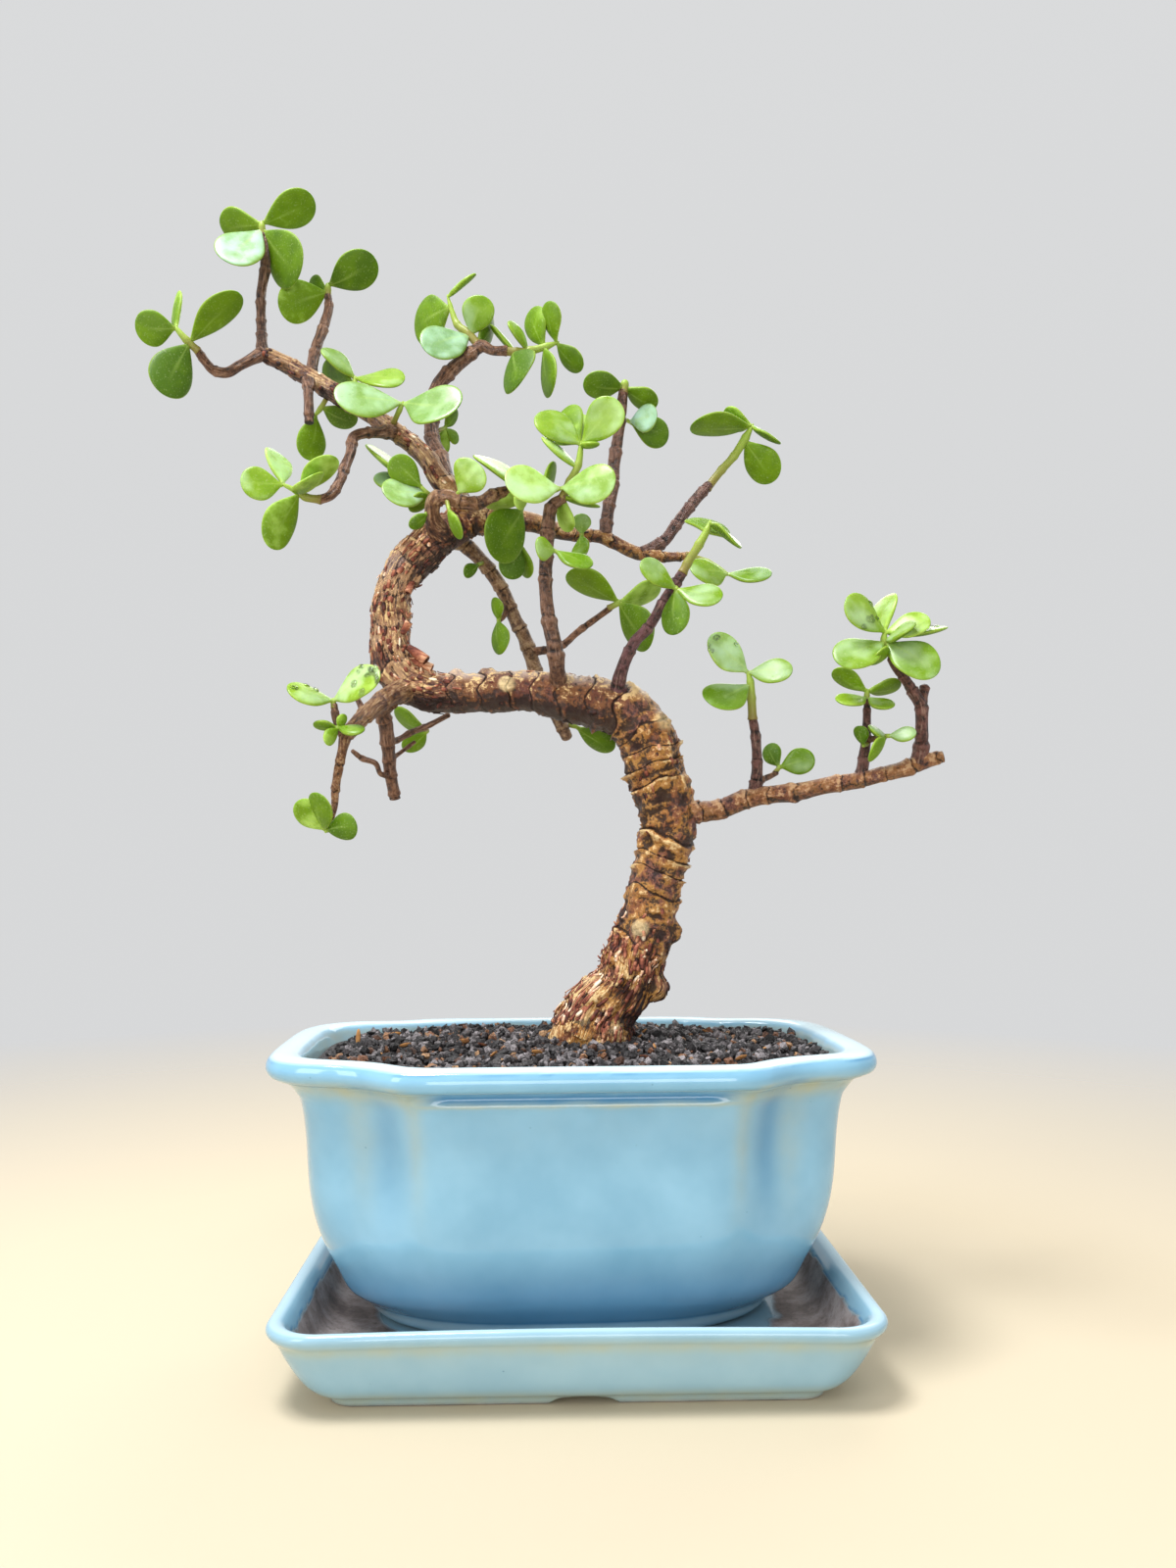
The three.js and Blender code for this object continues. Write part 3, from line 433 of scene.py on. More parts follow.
def glazeMaterial(name, sky, pale, stain=None):
    # from the glaze's own colour up: pooled glaze with painted shade, thin, painted highlights and the
    # chip, pinholes, and bare or stained clay
    look = glazeLook
    material, tree = newMaterial(name, Roughness=look["roughness"][0], IOR=1.52)
    place, bare = objectPlace(tree), fact(tree, "bare")
    cloud = clouds(tree, place, 1000 / look["blotch"], 3, 0.6)
    wander = clouds(tree, place, 160, 4)
    speck = clouds(tree, place, 700, 5, 0.7)
    holes = add(tree, "TexVoronoi", {"Vector": place, "Scale": 1000 / look["pinhole"]}).outputs["Distance"]
    scattered = ranged(tree, clouds(tree, place, 90, 1), 0.52, 0.6)
    hole = product(tree, ranged(tree, holes, 0.035, 0.06, 1, 0), scattered)
    body = mixed(tree, ranged(tree, speck, 0.35, 0.7), *look["clay"])
    if stain:
        body = ramp(tree, clouds(tree, place, 75, 6, 0.65), stain)
        body = mixed(tree, ranged(tree, speck, 0.5, 0.75, 0, 0.5), body, look["grime"])
    paint = layered(tree, mixed(tree, ranged(tree, cloud, 0.35, 0.7, 0, 0.6), sky, pale), [
        (fact(tree, "pooled"), look["deep"]),
        (product(tree, fact(tree, "thin"), ranged(tree, wander, 0.3, 0.75, 0.7, 1.15)), look["olive"]),
        (fact(tree, "milky"), look["milk"]),
        (product(tree, hole, 0.55), look["hole"]),
        (bare, body),
    ])
    relief = summed(tree, clouds(tree, place, 55, 2), product(tree, hole, -1.2), product(tree, bare, speck))
    plug(
        tree, Base_Color=paint, Roughness=ranged(tree, bare, 0, 1, *look["roughness"]),
        Normal=bumped(tree, relief, 0.35, 0.00025),
    )
    return material


# The pot: an indented rectangle with a rolled lip, drawn in to a low foot.
potPlan = {
    "halfLength": 90.5,
    "halfDepth": 59.5,
    "depthShare": 0.8,  # how fast the depth shrinks against the length, going down
    "floorHalfLength": 52,
    "quarterColumns": 90,
    "spacing": 0.9,
    # [half length, height] from the axis underneath, round the lip, to the axis inside
    "profile": [
        [30, 12.4], [46, 12.4], [49.6, 12.2], [50.7, 11.2], [51.3, 10.2], [52.4, 9.8], [60, 9.8],
        [61.1, 10.2], [62.3, 11.4], [63.6, 13.2], [64.3, 14.5], [64.4, 15.2], [64.9, 15.7], [67, 18.9],
        [69.6, 23.2], [71.9, 28.4], [74.5, 34], [76.6, 39.6], [78, 45.6], [78.8, 51.6], [79.2, 58.8],
        [79.5, 66], [80.3, 73.8],
        [81.3, 78.4], [82, 80], [81.9, 80.9], [81.3, 81.7], [81.1, 82.6], [81.4, 83.5], [82.4, 84.2],
        [85, 84.4], [87.9, 84.8], [89.7, 85.6], [90.5, 87.2], [90.3, 89], [89.6, 90.2], [88.3, 91],
        [85.8, 91.5], [82.9, 91.3], [80.9, 90.2], [79.4, 87], [77.5, 82], [75.9, 77], [74.4, 68],
        [73.5, 60], [71.8, 42], [65.6, 26.5], [58, 20], [51, 17.6], [44, 17], [30, 17],
    ],
    # a quarter of the outline as shares of half length and half depth, with and without its flute
    "fluted": [
        [0, -1], [0.26, -1], [0.47, -0.997], [0.555, -0.972], [0.61, -0.915], [0.66, -0.86],
        [0.72, -0.82], [0.8, -0.79], [0.88, -0.745], [0.945, -0.66], [0.982, -0.53],
        [0.997, -0.33], [1, 0],
    ],
    "foot": [
        [0, -0.95], [0.3, -0.93], [0.5, -0.87], [0.66, -0.77], [0.78, -0.65], [0.87, -0.52],
        [0.94, -0.36], [0.985, -0.19], [1, 0],
    ],
    "plain": [
        [0, -1], [0.26, -1], [0.46, -0.992], [0.56, -0.97], [0.65, -0.935], [0.73, -0.885],
        [0.8, -0.825], [0.86, -0.755], [0.91, -0.675], [0.955, -0.57], [0.984, -0.44],
        [0.997, -0.26], [1, 0],
    ],
    "footTo": 22,  # the foot's outline gives way to the plain one between these heights
    "footFrom": 12,
    "fluteFrom": 22,  # and the flute fades in between these
    "fluteTo": 66,
    # in the lobes the shoulder's groove is filled to a smooth cove, by [height, more half length]
    "cove": [
        [79.4, 0], [80.4, 0.5], [81, 1.1], [81.7, 2.1], [82.6, 3.2], [83.5, 3.9], [84.2, 4.2],
        [84.4, 2.2], [84.8, 0.3], [85.6, 0],
    ],
    "lobeFrom": 0.44,
    "lobeTo": 0.58,
    "lobeRise": 0.7,  # how much higher the lip stands at the lobes
    # the glaze on the outside: where it runs thin, and where it pools and in part is painted darker as
    # painted shade, in rings of
    # [height, width, strength] on the faces, on the lobes or all round, and down the flutes in lines of
    # [reach, width, strength]
    "thinFace": [(80.4, 0.6, 0.85), (84.6, 0.45, 0.8)],
    "thinLobe": [(83.2, 2.6, 0.8)],
    "thinRound": [(10.4, 0.5, 0.4)],
    "thinFlute": [(0.565, 0.03, 0.4), (0.76, 0.05, 0.35)],
    # glaze pooled in the shoulder's groove, widened as painted shade under the overhanging lip
    "pooledFace": [(82.4, 1.35, 1)],
    "pooledRound": [(15.4, 0.5, 0.6), (90.3, 0.22, 0.6)],
    "pooledFlute": [(0.665, 0.05, 1)],
    "fluteShadeSides": (0.3, 0.6),  # strength of that line at the left and at the right: the right's is stronger, as painted shade on the side away from the light
    "bellyShade": (40, 19, 0.66),  # the belly is painted darker downwards between these heights, as painted shade, and how much
    # painted highlight: the foot bead is painted pale
    "milkyBead": [(12.9, 1.7, 0.6)],
    "drainRadius": 6,
    "drainSpacing": 56,
    "drainFloor": 14,  # height of the drilled floor
}


def potDepth(length):
    # the pot's half depth where its half length is length
    return potPlan["halfDepth"] - potPlan["depthShare"] * (potPlan["halfLength"] - length)


def mirrored(x, y):
    # a quarter, from the front's middle to the right end, carried anticlockwise round all four
    halves = (
        np.concatenate([x[..., :-1], x[..., :0:-1]], axis=-1),
        np.concatenate([y[..., :-1], -y[..., :0:-1]], axis=-1),
    )
    return [np.concatenate([half, -half], axis=-1) for half in halves]


def fullOutline(quarter, columns):
    # a quarter outline at even steps, mirrored to all four
    path = smoothPath(quarter, 1e-4, 60)
    path = path[np.round(np.linspace(0, len(path) - 1, columns + 1)).astype(int)]
    return np.stack(mirrored(*path.T), axis=-1)


def potShell(plan):
    # ring at half length L and height z: x = L a(t), y = D(L) b(t), with the outline a, b going with
    # height from the foot's through plain to fluted, and D the half depth, which falls by depthShare
    # of L's fall, and from the floor's edge inwards in proportion to L
    profile = smoothPath(plan["profile"], plan["spacing"])
    length, height = profile[:, 0, None], profile[:, 1, None]
    outside = np.arange(len(profile))[:, None] < np.argmax(profile[:, 1])
    foot, plain, fluted = (
        fullOutline(plan[key], plan["quarterColumns"]) for key in ("foot", "plain", "fluted")
    )
    reach = np.abs(fluted[None, :, 0])
    lobe = smoothStep(plan["lobeFrom"], plan["lobeTo"], reach)
    length = length + lobe * outside * np.interp(height, *np.transpose(plan["cove"]))
    floor = plan["floorHalfLength"]
    depth = np.where(length > floor, potDepth(length), potDepth(floor) * length / floor)
    share = smoothStep(plan["fluteFrom"], plan["fluteTo"], height)[..., None]
    outline = plain[None] * (1 - share) + fluted[None] * share
    share = smoothStep(plan["footTo"], plan["footFrom"], height)[..., None]
    outline = outline * (1 - share) + foot[None] * share
    x, y = outline[..., 0] * length, outline[..., 1] * depth
    rise = plan["lobeRise"] * smoothStep(0.5, 0.85, reach) * smoothStep(70, 88, height)
    rings = np.stack([x, y, height + rise + 0 * x], axis=-1)
    wander = noise(rings / 9, 3) + 0.5 * noise(rings / 3.1, 4)
    z = height + 0.25 * wander
    flute = smoothStep(34, 70, z) * (z < 86)
    thin = np.where(outside, (
        bands(z, plan["thinFace"]) * (1 - lobe) + bands(z, plan["thinLobe"]) * lobe
        + bands(z, plan["thinRound"]) + 0.1 * smoothStep(56, 77, z) * (z < 82)
        + flute * bands(reach, plan["thinFlute"])
    ), 0.7 * smoothStep(90.4, 88.6, z + 0.5 * wander))
    # painted shade: the belly is painted darker downwards, the groove under the lip darker, and the right
    # flutes darker than the left
    high, low, strength = plan["bellyShade"]
    pooled = np.where(outside, (
        bands(z, plan["pooledFace"]) * (1 - lobe) + bands(z, plan["pooledRound"])
        + strength * smoothStep(high, low, z) * smoothStep(14.4, 15.8, z) + 0.14 * smoothStep(58, 76, z)
        + np.where(x > 0, *plan["fluteShadeSides"][::-1]) * flute * bands(reach, plan["pooledFlute"])
    ), 0.25 * bell(z, 91.0, 0.3))
    # painted highlight: the lip's top and the foot bead are painted pale where light falls on them
    milky = 0.95 * smoothStep(90.3, 90.9, height + 0.12 * wander) + outside * bands(z, plan["milkyBead"])
    return shell(
        turned(rings, 0), thin=np.clip(thin * (0.92 + 0.15 * wander), 0, 1), pooled=np.clip(pooled, 0, 1),
        milky=milky, bare=np.where(outside, smoothStep(10.1, 9.9, z), smoothStep(76, 70, z)),
    )


potGlaze = glazeMaterial("skyBluePotGlaze", glazeLook["sky"], glazeLook["pale"])
pot = addPiece("glazedPot", potShell(potPlan), potGlaze, ["pot"])


def drillPot(piece, plan):
    # two round drain holes through the floor
    radius = plan["drainRadius"] * millimetre
    for side in (-1, 1):
        bpy.ops.mesh.primitive_cylinder_add(vertices=48, radius=radius, depth=0.02)
        drill = bpy.context.object
        drill.location = turned([side * plan["drainSpacing"] / 2, 0, plan["drainFloor"]], 0) * millimetre
        cut = piece.modifiers.new("drainHole", "BOOLEAN")
        cut.object = drill
        cut.solver = "EXACT"
        bpy.context.view_layer.objects.active = piece
        bpy.ops.object.modifier_apply(modifier=cut.name)
        bpy.data.objects.remove(drill)


drillPot(pot, potPlan)
print("pot made")

# The saucer: a rounded rectangle with flaring walls, a rolled rim and a low foot ring.
saucerPlan = {
    "halfLength": 84.8,
    "halfDepth": 62,
    "depthShare": 0.72,
    "corner": 15,
    "floorCorner": 5,
    "floorHalfLength": 40,
    "turn": -2,
    "frontColumns": 56,
    "cornerColumns": 18,
    "endColumns": 26,
    "spacing": 0.85,
    "profile": [
        [30, 3.2], [57, 3.2], [58.8, 2.7], [59.6, 0.8], [60.6, 0], [67.3, 0], [68.2, 0.5], [68.5, 1.5],
        [69.1, 2.4], [70.6, 2.9], [72.6, 3.8], [75, 5.9], [77.2, 8.8], [79.6, 13], [81.6, 17.2],
        [82.7, 19.4], [84.1, 20.6], [84.8, 22], [84.5, 23.2], [83.5, 23.9], [82, 24], [80.2, 23.2],
        [78.4, 20.8], [76.4, 16.4], [74.8, 12.8], [73.2, 10.9], [71, 9.9], [67, 9.5], [30, 9.5],
    ],
    "rimBow": 1.2,  # how far the rim's middle stands above its ends
    "notchWidth": 18.5,
    "notchHeight": 2.2,
    "notchMiddle": 1.2,
    # the glaze: rings of [height, width, strength] where it runs thin outside
    "thin": [(19.0, 1.9, 0.75), (15.5, 3, 0.15)],
    "chip": (66.6, -60.5, 23.2),  # a knock in the rim's glaze
    "clean": (1, 60.5, 46),  # middle, half length and half depth of the floor that stays clean
    "patch": (-54, 5, -27, 3.5),  # another clean place: middle and width in x and in y
    "floorTop": 12,  # the floor is lower than this
    "stainLine": 19.6,  # the height that the inner glaze comes down to
    "blue": ("#85ABBE", "#98BBCA"),
    "stain": [(0.25, "#463C38"), (0.45, "#7E706B"), (0.6, "#A09490"), (0.8, "#B8ADA8")],
}


def saucerShell(plan):
    # ring at half length L: a rectangle of half sides L and halfDepth - depthShare inset, whose corners
    # are arcs of radius corner - inset / 2; columns share out the front, the arc and the end; the rim
    # is lifted by bow (0.35 - (x / L)^2)
    profile = smoothPath(plan["profile"], plan["spacing"])
    length, height = profile[:, 0, None], profile[:, 1, None]
    inset = plan["halfLength"] - np.maximum(length, plan["floorHalfLength"])
    shrink = np.minimum(1, length / plan["floorHalfLength"])
    depth = (plan["halfDepth"] - plan["depthShare"] * inset) * shrink
    corner = np.maximum(plan["corner"] - inset / 2, plan["floorCorner"]) * shrink
    front = np.linspace(0, 1, plan["frontColumns"], endpoint=False)[None]
    arc = np.linspace(0, math.pi / 2, plan["cornerColumns"], endpoint=False)[None]
    end = np.linspace(0, 1, plan["endColumns"] + 1)[None]
    x, y = mirrored(
        np.hstack([front * (length - corner), length - corner + corner * np.sin(arc), length + 0 * end]),
        np.hstack([0 * front - depth, corner - depth - corner * np.cos(arc), (end - 1) * (depth - corner)]),
    )
    outside = np.arange(len(profile))[:, None] < np.argmax(profile[:, 1])
    reach = np.clip(1 - np.abs((x - plan["notchMiddle"]) / plan["notchWidth"] * 2) ** 3, 0, 1)
    arch = plan["notchHeight"] * np.sqrt(reach) * (y < 0) * smoothStep(56, 58, length)
    z = np.where(outside & (height < arch), arch, height)
    bow = plan["rimBow"] * (0.35 - (x / plan["halfLength"]) ** 2) * smoothStep(6, 22, z)
    rings = np.stack([x, y, z + bow], axis=-1)
    wander = noise(rings / 7, 11) + 0.5 * noise(rings / 2.6, 12)
    inner = z + 0.8 * wander
    line = plan["stainLine"]
    thin = np.where(
        outside, bands(z, plan["thin"]) + 0.8 * smoothStep(7, 2.5, z), 0.5 * bell(inner, line, 0.5),
    )
    # the inside is stained below the line, but for its clean places; outside only the foot is bare
    floor = (1 - outside) * (z < plan["floorTop"])
    middleX, widthX, middleY, widthY = plan["patch"]
    patch = 1.8 * bell(x, middleX, widthX) * bell(y, middleY, widthY) + 0.35 * wander
    nearFoot = np.hypot((x - plan["clean"][0]) / plan["clean"][1], y / plan["clean"][2])
    bare = (1 - outside) * smoothStep(line + 0.3, line - 0.3, inner)
    bare = bare * (1 - floor * smoothStep(0.75, 0.85, patch))
    bare = bare * (1 - floor * smoothStep(1.04, 1.0, nearFoot + 0.03 * wander))
    bare = np.maximum(bare, outside * smoothStep(0.6, 0.3, z) * (1 - smoothStep(0.1, 0.4, arch)))
    pooled = (1 - outside) * bell(inner, line + 0.5, 0.35) + outside * 0.5 * bell(z, 23.75, 0.2)
    chipped = bell(np.linalg.norm(rings - plan["chip"], axis=-1), 0, 0.9)
    return shell(
        turned(rings, plan["turn"], saucerMiddle), thin=np.clip(thin * (0.9 + 0.15 * wander), 0, 1),
        # the chip, and the rim's top painted pale as a painted highlight
        pooled=np.clip(0.9 * pooled, 0, 1), milky=np.maximum(chipped, 0.5 * smoothStep(23.3, 23.9, z)),
        bare=bare,
    )


saucerMiddle = middleOf("saucer")
saucerGlaze = glazeMaterial("paleBlueSaucerGlaze", *saucerPlan["blue"], saucerPlan["stain"])
addPiece("glazedSaucer", saucerShell(saucerPlan), saucerGlaze, ["saucer"])
print("saucer made")


# The woody growth. Each limb is a route of [x, y, height, radius] from the pot's axis, x to the right
# and y to the back of the tree's own plane, and starts inside what it grows from.
treePlan = {
    "limbs": {
        "trunk": [
            [6, 0, 92, 13.4], [10.3, 0, 101, 11.2], [17, 0, 109, 10], [21, 0, 119.5, 9.7],
            [24, 0, 127, 9.6], [25.5, 0, 134.5, 8.7], [27, 0, 141.5, 8.8], [29, 0, 149.5, 9.1],
            [31, -1, 159.5, 9.6], [28.5, -1, 170, 9.6], [26, -1, 178, 9.6], [24, -1, 186, 9.6],
            [19.5, -1, 193, 9.3], [14, -1, 196, 8.7], [6.5, -1, 197.5, 8.4], [-3, -1, 199.5, 7.7],
            [-13.5, 0, 201.5, 6.7], [-25.5, 0, 201, 6.5], [-35.5, 0, 201, 6.4], [-45.5, 0, 201.5, 6.4],
            [-52, 0, 204.5, 6.7], [-56, 0, 211, 7], [-57, 0, 219, 6.4], [-57, 0, 228, 6],
            [-55.5, 0, 234.5, 6], [-52, 0, 240.5, 6.4], [-47, 0, 245.5, 6.5], [-42, 0, 250, 6.2],
            [-36, 0, 253.5, 5.6],
        ],
        "rightLimb": [
            [-36, 0, 253.5, 5.6], [-30.5, 3, 256, 4.7], [-19, 6, 257, 3.8], [-11, 7, 256.5, 3.2],
            [-2, 8, 253.5, 2.2], [9.5, 8, 252.5, 2.2], [20.5, 8, 247.5, 2.2], [25.5, 8, 246.5, 2],
            [34, 8, 246, 1.5], [38, 8, 246.5, 1.3],
        ],
        "frontLimb": [
            [-40, -2, 249.5, 4.3], [-42, -7, 252, 3.2], [-42.5, -10, 254.5, 2.4], [-41.5, -12, 258, 2.4],
            [-38, -13, 259, 2.3], [-33.5, -13, 257.5, 2.2], [-28, -13, 257, 2.1], [-23, -12, 260, 1.9],
            [-17.5, -11, 261.5, 1.6], [-13, -11, 261, 1.3],
        ],
        "crownLimb": [
            [-37.5, 0, 252.5, 5.6], [-35, 1, 257.5, 4.7], [-37, 2, 264, 3.9], [-42, 3, 269.5, 3.4],
            [-45.5, 4, 276, 3.3], [-50.5, 5, 281, 3.1], [-57.5, 6, 286.5, 3.1], [-61.5, 6, 289.5, 3],
            [-70, 7, 295, 3], [-78, 6, 299.5, 3], [-86, 5, 304, 2.8], [-94, 4, 308, 2.6],
            [-98.5, 3, 309.5, 2.3],
        ],
        "leftTip": [
            [-98.5, 3, 309.5, 2.3], [-101, 1, 307, 1.8], [-104.5, -1, 304, 1.6], [-108, -3, 301, 1.6],
            [-111.5, -5, 301, 1.5], [-113.5, -6, 303, 1.4], [-116, -7, 306.5, 1.3],
        ],
        "leader": [
            [-98.5, 3, 309.5, 2.2], [-98.5, 3, 313.5, 1.8], [-99, 4, 320.5, 1.6], [-99, 4, 329, 1.6],
            [-98, 5, 337.5, 1.6], [-98, 5, 343.5, 1.4], [-98.5, 5, 348.5, 1.1],
        ],
        "backShoot": [
            [-83.5, 6, 303, 2.2], [-83.5, 9, 310, 1.8], [-82.5, 11, 316.5, 1.7], [-81, 13, 322.5, 1.7],
            [-79.5, 14, 329.5, 1.5], [-80, 15, 334, 1.2],
        ],
        "cutStub": [
            [-83.5, 2, 300.5, 2.2], [-83, 0, 296, 1.6], [-82.5, -1, 286, 1.5],
        ],
        "lowLeftLimb": [
            [-57, 4, 285, 2.4], [-60, -2, 282.5, 1.7], [-64, -6, 281, 1.6], [-67, -8, 279, 1.6],
            [-67.5, -11, 273, 1.6], [-69, -13, 267.5, 1.6], [-70, -15, 263, 1.5], [-72.5, -17, 258, 1.5],
            [-75.5, -18, 256.5, 1.3],
        ],
        "forkLimb": [
            [-39.5, 4, 267, 3.1], [-42, 9, 277.5, 2.6], [-45.5, 12, 286.5, 2.4], [-45, 14, 298, 2.4],
            [-44, 15, 304, 2.4], [-38, 16, 311, 2.4], [-32.5, 17, 316, 2.1], [-29.5, 17, 318, 2],
            [-26, 17, 316.5, 1.6], [-21.5, 17, 316.5, 1.5],
        ],
        "spike": [
            [11, 8, 253, 2.2], [12, 9, 261.5, 2], [13.5, 10, 269, 1.9], [14, 11, 277, 2],
            [15.5, 12, 288, 1.8], [16.5, 12, 296.5, 1.8], [17, 12, 301, 1.5],
        ],
        "frontStem": [
            [-3.5, -4, 202, 3.4], [-4, -9, 206.5, 2.5], [-4.5, -11, 212, 2.4], [-6, -12, 219, 2.3],
            [-7, -13, 225.5, 2.1], [-7.5, -14, 234, 2.1], [-7, -15, 242.5, 2.1], [-6.5, -15, 250.5, 2.1],
            [-5.5, -15, 255.5, 1.8], [-2, -15, 258, 1.5],
        ],
        "droopingLimb": [
            [-38, 5, 252.5, 4.1], [-36, 9, 251.5, 3], [-33, 11, 249.5, 2.6], [-28.5, 12, 245, 2.4],
            [-25, 13, 240.5, 2.3], [-21.5, 14, 234.5, 2.3], [-18.5, 15, 227.5, 2.3],
            [-15.5, 15, 221.5, 2.3], [-13, 15, 214.5, 2.3], [-11, 15, 208, 2.3], [-7.5, 14, 200.5, 2.3],
            [-4, 13, 194, 2.3], [-1.5, 12, 188.5, 2],
        ],
        "droopingTwigLeft": [
            [-20.5, 14, 232.5, 1.3], [-22, 12, 227.5, 0.8], [-23.5, 11, 226, 0.7],
        ],
        "droopingTwigRight": [
            [-13.5, 15, 216.5, 1.6], [-7.5, 13, 217, 1.2], [-3, 11, 218, 1.2], [2.5, 8, 222, 1.1],
            [9.5, 5, 226.5, 1], [12.5, 4, 228.5, 1],
        ],
        "leaningStem": [
            [14.5, -4, 199, 2.8], [15.5, -9, 205, 2.1], [17.5, -11, 210.5, 1.8], [20, -12, 215, 1.8],
            [23.5, -13, 218.5, 1.7], [26, -14, 222, 1.7], [28.5, -15, 226.5, 1.6], [32, -16, 231.5, 1.6],
            [34, -17, 234.5, 1.5],
        ],
        "rightHighLimb": [
            [22.5, 8, 247, 2.2], [27, 9, 249.5, 2], [30.5, 10, 252, 1.9], [34, 11, 257, 1.8],
            [38, 12, 262.5, 1.8], [41.5, 13, 267, 1.8], [45, 14, 271, 1.6],
        ],
        "longLimb": [
            [33.5, -2, 162, 4.9], [38.5, -3, 163, 3.8], [45.5, -4, 163.5, 3.4], [55, -6, 167, 3.1],
            [64, -7, 168.5, 2.9], [70, -8, 169, 2.9], [79, -9, 171, 2.7], [88.5, -10, 172.5, 2.6],
            [97, -11, 174.5, 2.4], [103, -12, 176, 2.6], [108, -12, 178, 2.6], [114, -13, 179.5, 1.9],
        ],
        "longStemOne": [
            [57, -6, 167.5, 2.4], [58, -6, 173, 2], [58, -7, 179, 1.6], [57.5, -7, 187, 1.5],
            [56.5, -8, 192, 1.4],
        ],
        "longTwigOne": [
            [58, -6, 172.5, 1.4], [62, -3, 174, 1], [65, -1, 175.5, 0.8],
        ],
        "longStemTwo": [
            [89, -10, 172.5, 2.3], [90, -10, 176, 1.9], [90.5, -11, 181, 1.7], [91, -11, 186.5, 1.5],
            [91, -12, 192.5, 1.2], [91, -12, 197, 1],
        ],
        "longTwigTwo": [
            [91, -11, 184.5, 1.1], [93, -14, 185, 0.9], [95.5, -16, 185, 0.8],
        ],
        "longStemThree": [
            [106.5, -12, 177, 2.9], [107.5, -12, 181, 2.4], [107.5, -13, 185.5, 2], [107.5, -13, 191, 1.9],
            [107, -14, 195, 1.9], [105, -14, 198.5, 1.8], [102.5, -15, 202, 1.5], [99, -16, 206, 1.3],
            [97.5, -16, 209, 1.3],
        ],
        "longStub": [
            [107.5, -13, 194.5, 1.7], [108, -12, 197.5, 1.6], [109, -11, 201, 1.4],
        ],
        "nearLimb": [
            [-52, -2, 201.5, 4.6], [-54.5, -10, 199, 3.3], [-58, -17, 195, 2.8], [-61.5, -23, 190, 2.5],
            [-64, -26, 186.5, 2.3], [-65.5, -28, 184, 1.9], [-66.5, -29, 179, 1.5], [-67.5, -30, 173, 1.4],
            [-68, -31, 168, 1.2], [-68, -32, 163.5, 1], [-69, -32, 159, 0.7],
        ],
        "nearStem": [
            [-66, -28, 183.5, 1.4], [-67, -29, 185.5, 1.1], [-68, -30, 189, 1.1], [-68.5, -30, 193, 0.9],
        ],
        "nearTwig": [
            [-61, -22, 191, 1.3], [-63, -21, 195, 0.9], [-65, -20, 198.5, 0.7],
        ],
        "hangingStub": [
            [-56, -10, 197, 3], [-58.5, -6, 194, 2.5], [-58, -3, 190.5, 2.3], [-58, 2, 183.5, 2.2],
            [-58, 6, 176, 2.1], [-57, 9, 168, 1.8],
        ],
        "backTwig": [
            [-58.5, 1, 185.5, 1.4], [-56, 6, 186.5, 1], [-52, 10, 189.5, 1], [-47, 13, 192, 1],
            [-40.5, 16, 196, 0.8],
        ],
        "stubTwigRight": [
            [-58, 4, 180, 1.3], [-55.5, 8, 182.5, 0.7], [-51, 11, 186.5, 0.6],
        ],
        "stubTwigLeft": [
            [-58, 6, 175.5, 1.3], [-60.5, 2, 175.5, 0.8], [-61.5, -1, 178.5, 0.9], [-65.5, -3, 180, 0.9],
            [-68, -5, 182, 0.7],
        ],
    },
    "roots": {
        "tapRoot": [[6, 0, 95, 12], [4, 0, 84, 13.5], [2, 1, 70, 9], [0, 2, 54, 5]],
        "rootLeft": [[4, 0, 86, 8], [-10, -4, 79, 6.5], [-26, -7, 71, 4.6], [-40, -10, 60, 3]],
        "rootRight": [[8, 0, 86, 8], [20, 4, 78, 6], [36, 9, 69, 4.2], [50, 12, 58, 2.8]],
        "rootFront": [[5, -2, 85, 7.5], [2, -13, 78, 5.6], [-3, -24, 68, 4], [-5, -30, 56, 2.6]],
        "rootBack": [[6, 2, 85, 7.5], [11, 14, 77, 5.4], [17, 25, 67, 3.8], [19, 31, 55, 2.6]],
    },
    "seed": 5,
    "ringSpacing": 0.7,
    "columnSpacing": 0.62,
    "trunkRadius": 8,  # wood that reaches this thickness has its grid drawn finer by trunkFineness
    "trunkFineness": 0.78,
    "twigRadius": 2.4,  # thinner wood than this is young and smooth
    "oldRadius": 5.4,  # thicker wood than this has old flaking bark
    # the colour of young wood
    "youngTone": "#8A6247",
    "tones": {
        "longLimb": "#8E5844", "longStub": "#7A4E3E", "leaningStem": "#6B4244",
        "longStemOne": "#6E4840", "longStemTwo": "#6E4840", "longStemThree": "#744A40",
        "droopingLimb": "#94775A", "spike": "#7A5340", "rightHighLimb": "#735046",
        "leader": "#7D5A44", "cutStub": "#8A6248", "frontStem": "#7F5A42",
    },
    "cutEnds": ["cutStub", "longLimb", "hangingStub"],
    # swellings: [x, y, height, radius, rise, paleness]
    "knobs": [
        [27.2, -2.5, 107.8, 4.2, 3.9, 0.1], [21.6, -9.3, 126.8, 3.4, 1.6, 0.8],
        [33, -1, 125.2, 3.6, 2.2, 0], [29, -8, 191.5, 4, 1.6, 0.7],
        [-35.8, -1, 208, 2.4, 1.8, 0.1], [-26.2, -1, 207.4, 2.8, 1.6, 0.1],
        [-19.8, -6.4, 203, 3.2, 0.7, 1], [-44.5, -2, 209.5, 3.2, 1.5, 0.2], [13, -8.6, 96, 4, 1.6, 0.4],
        [4, -10, 100, 4, 0.9, 0.4], [-60.5, -4, 226, 3, 0.8, 0.3], [36.5, -2, 171, 3.4, 1.1, 0.3],
        [8, -8, 193, 3, 0.8, 0], [-2, -7, 195.5, 2.6, 0.7, 0],
    ],
    # scrolls of peeling bark: start, end, radius, turns
    "rolls": [
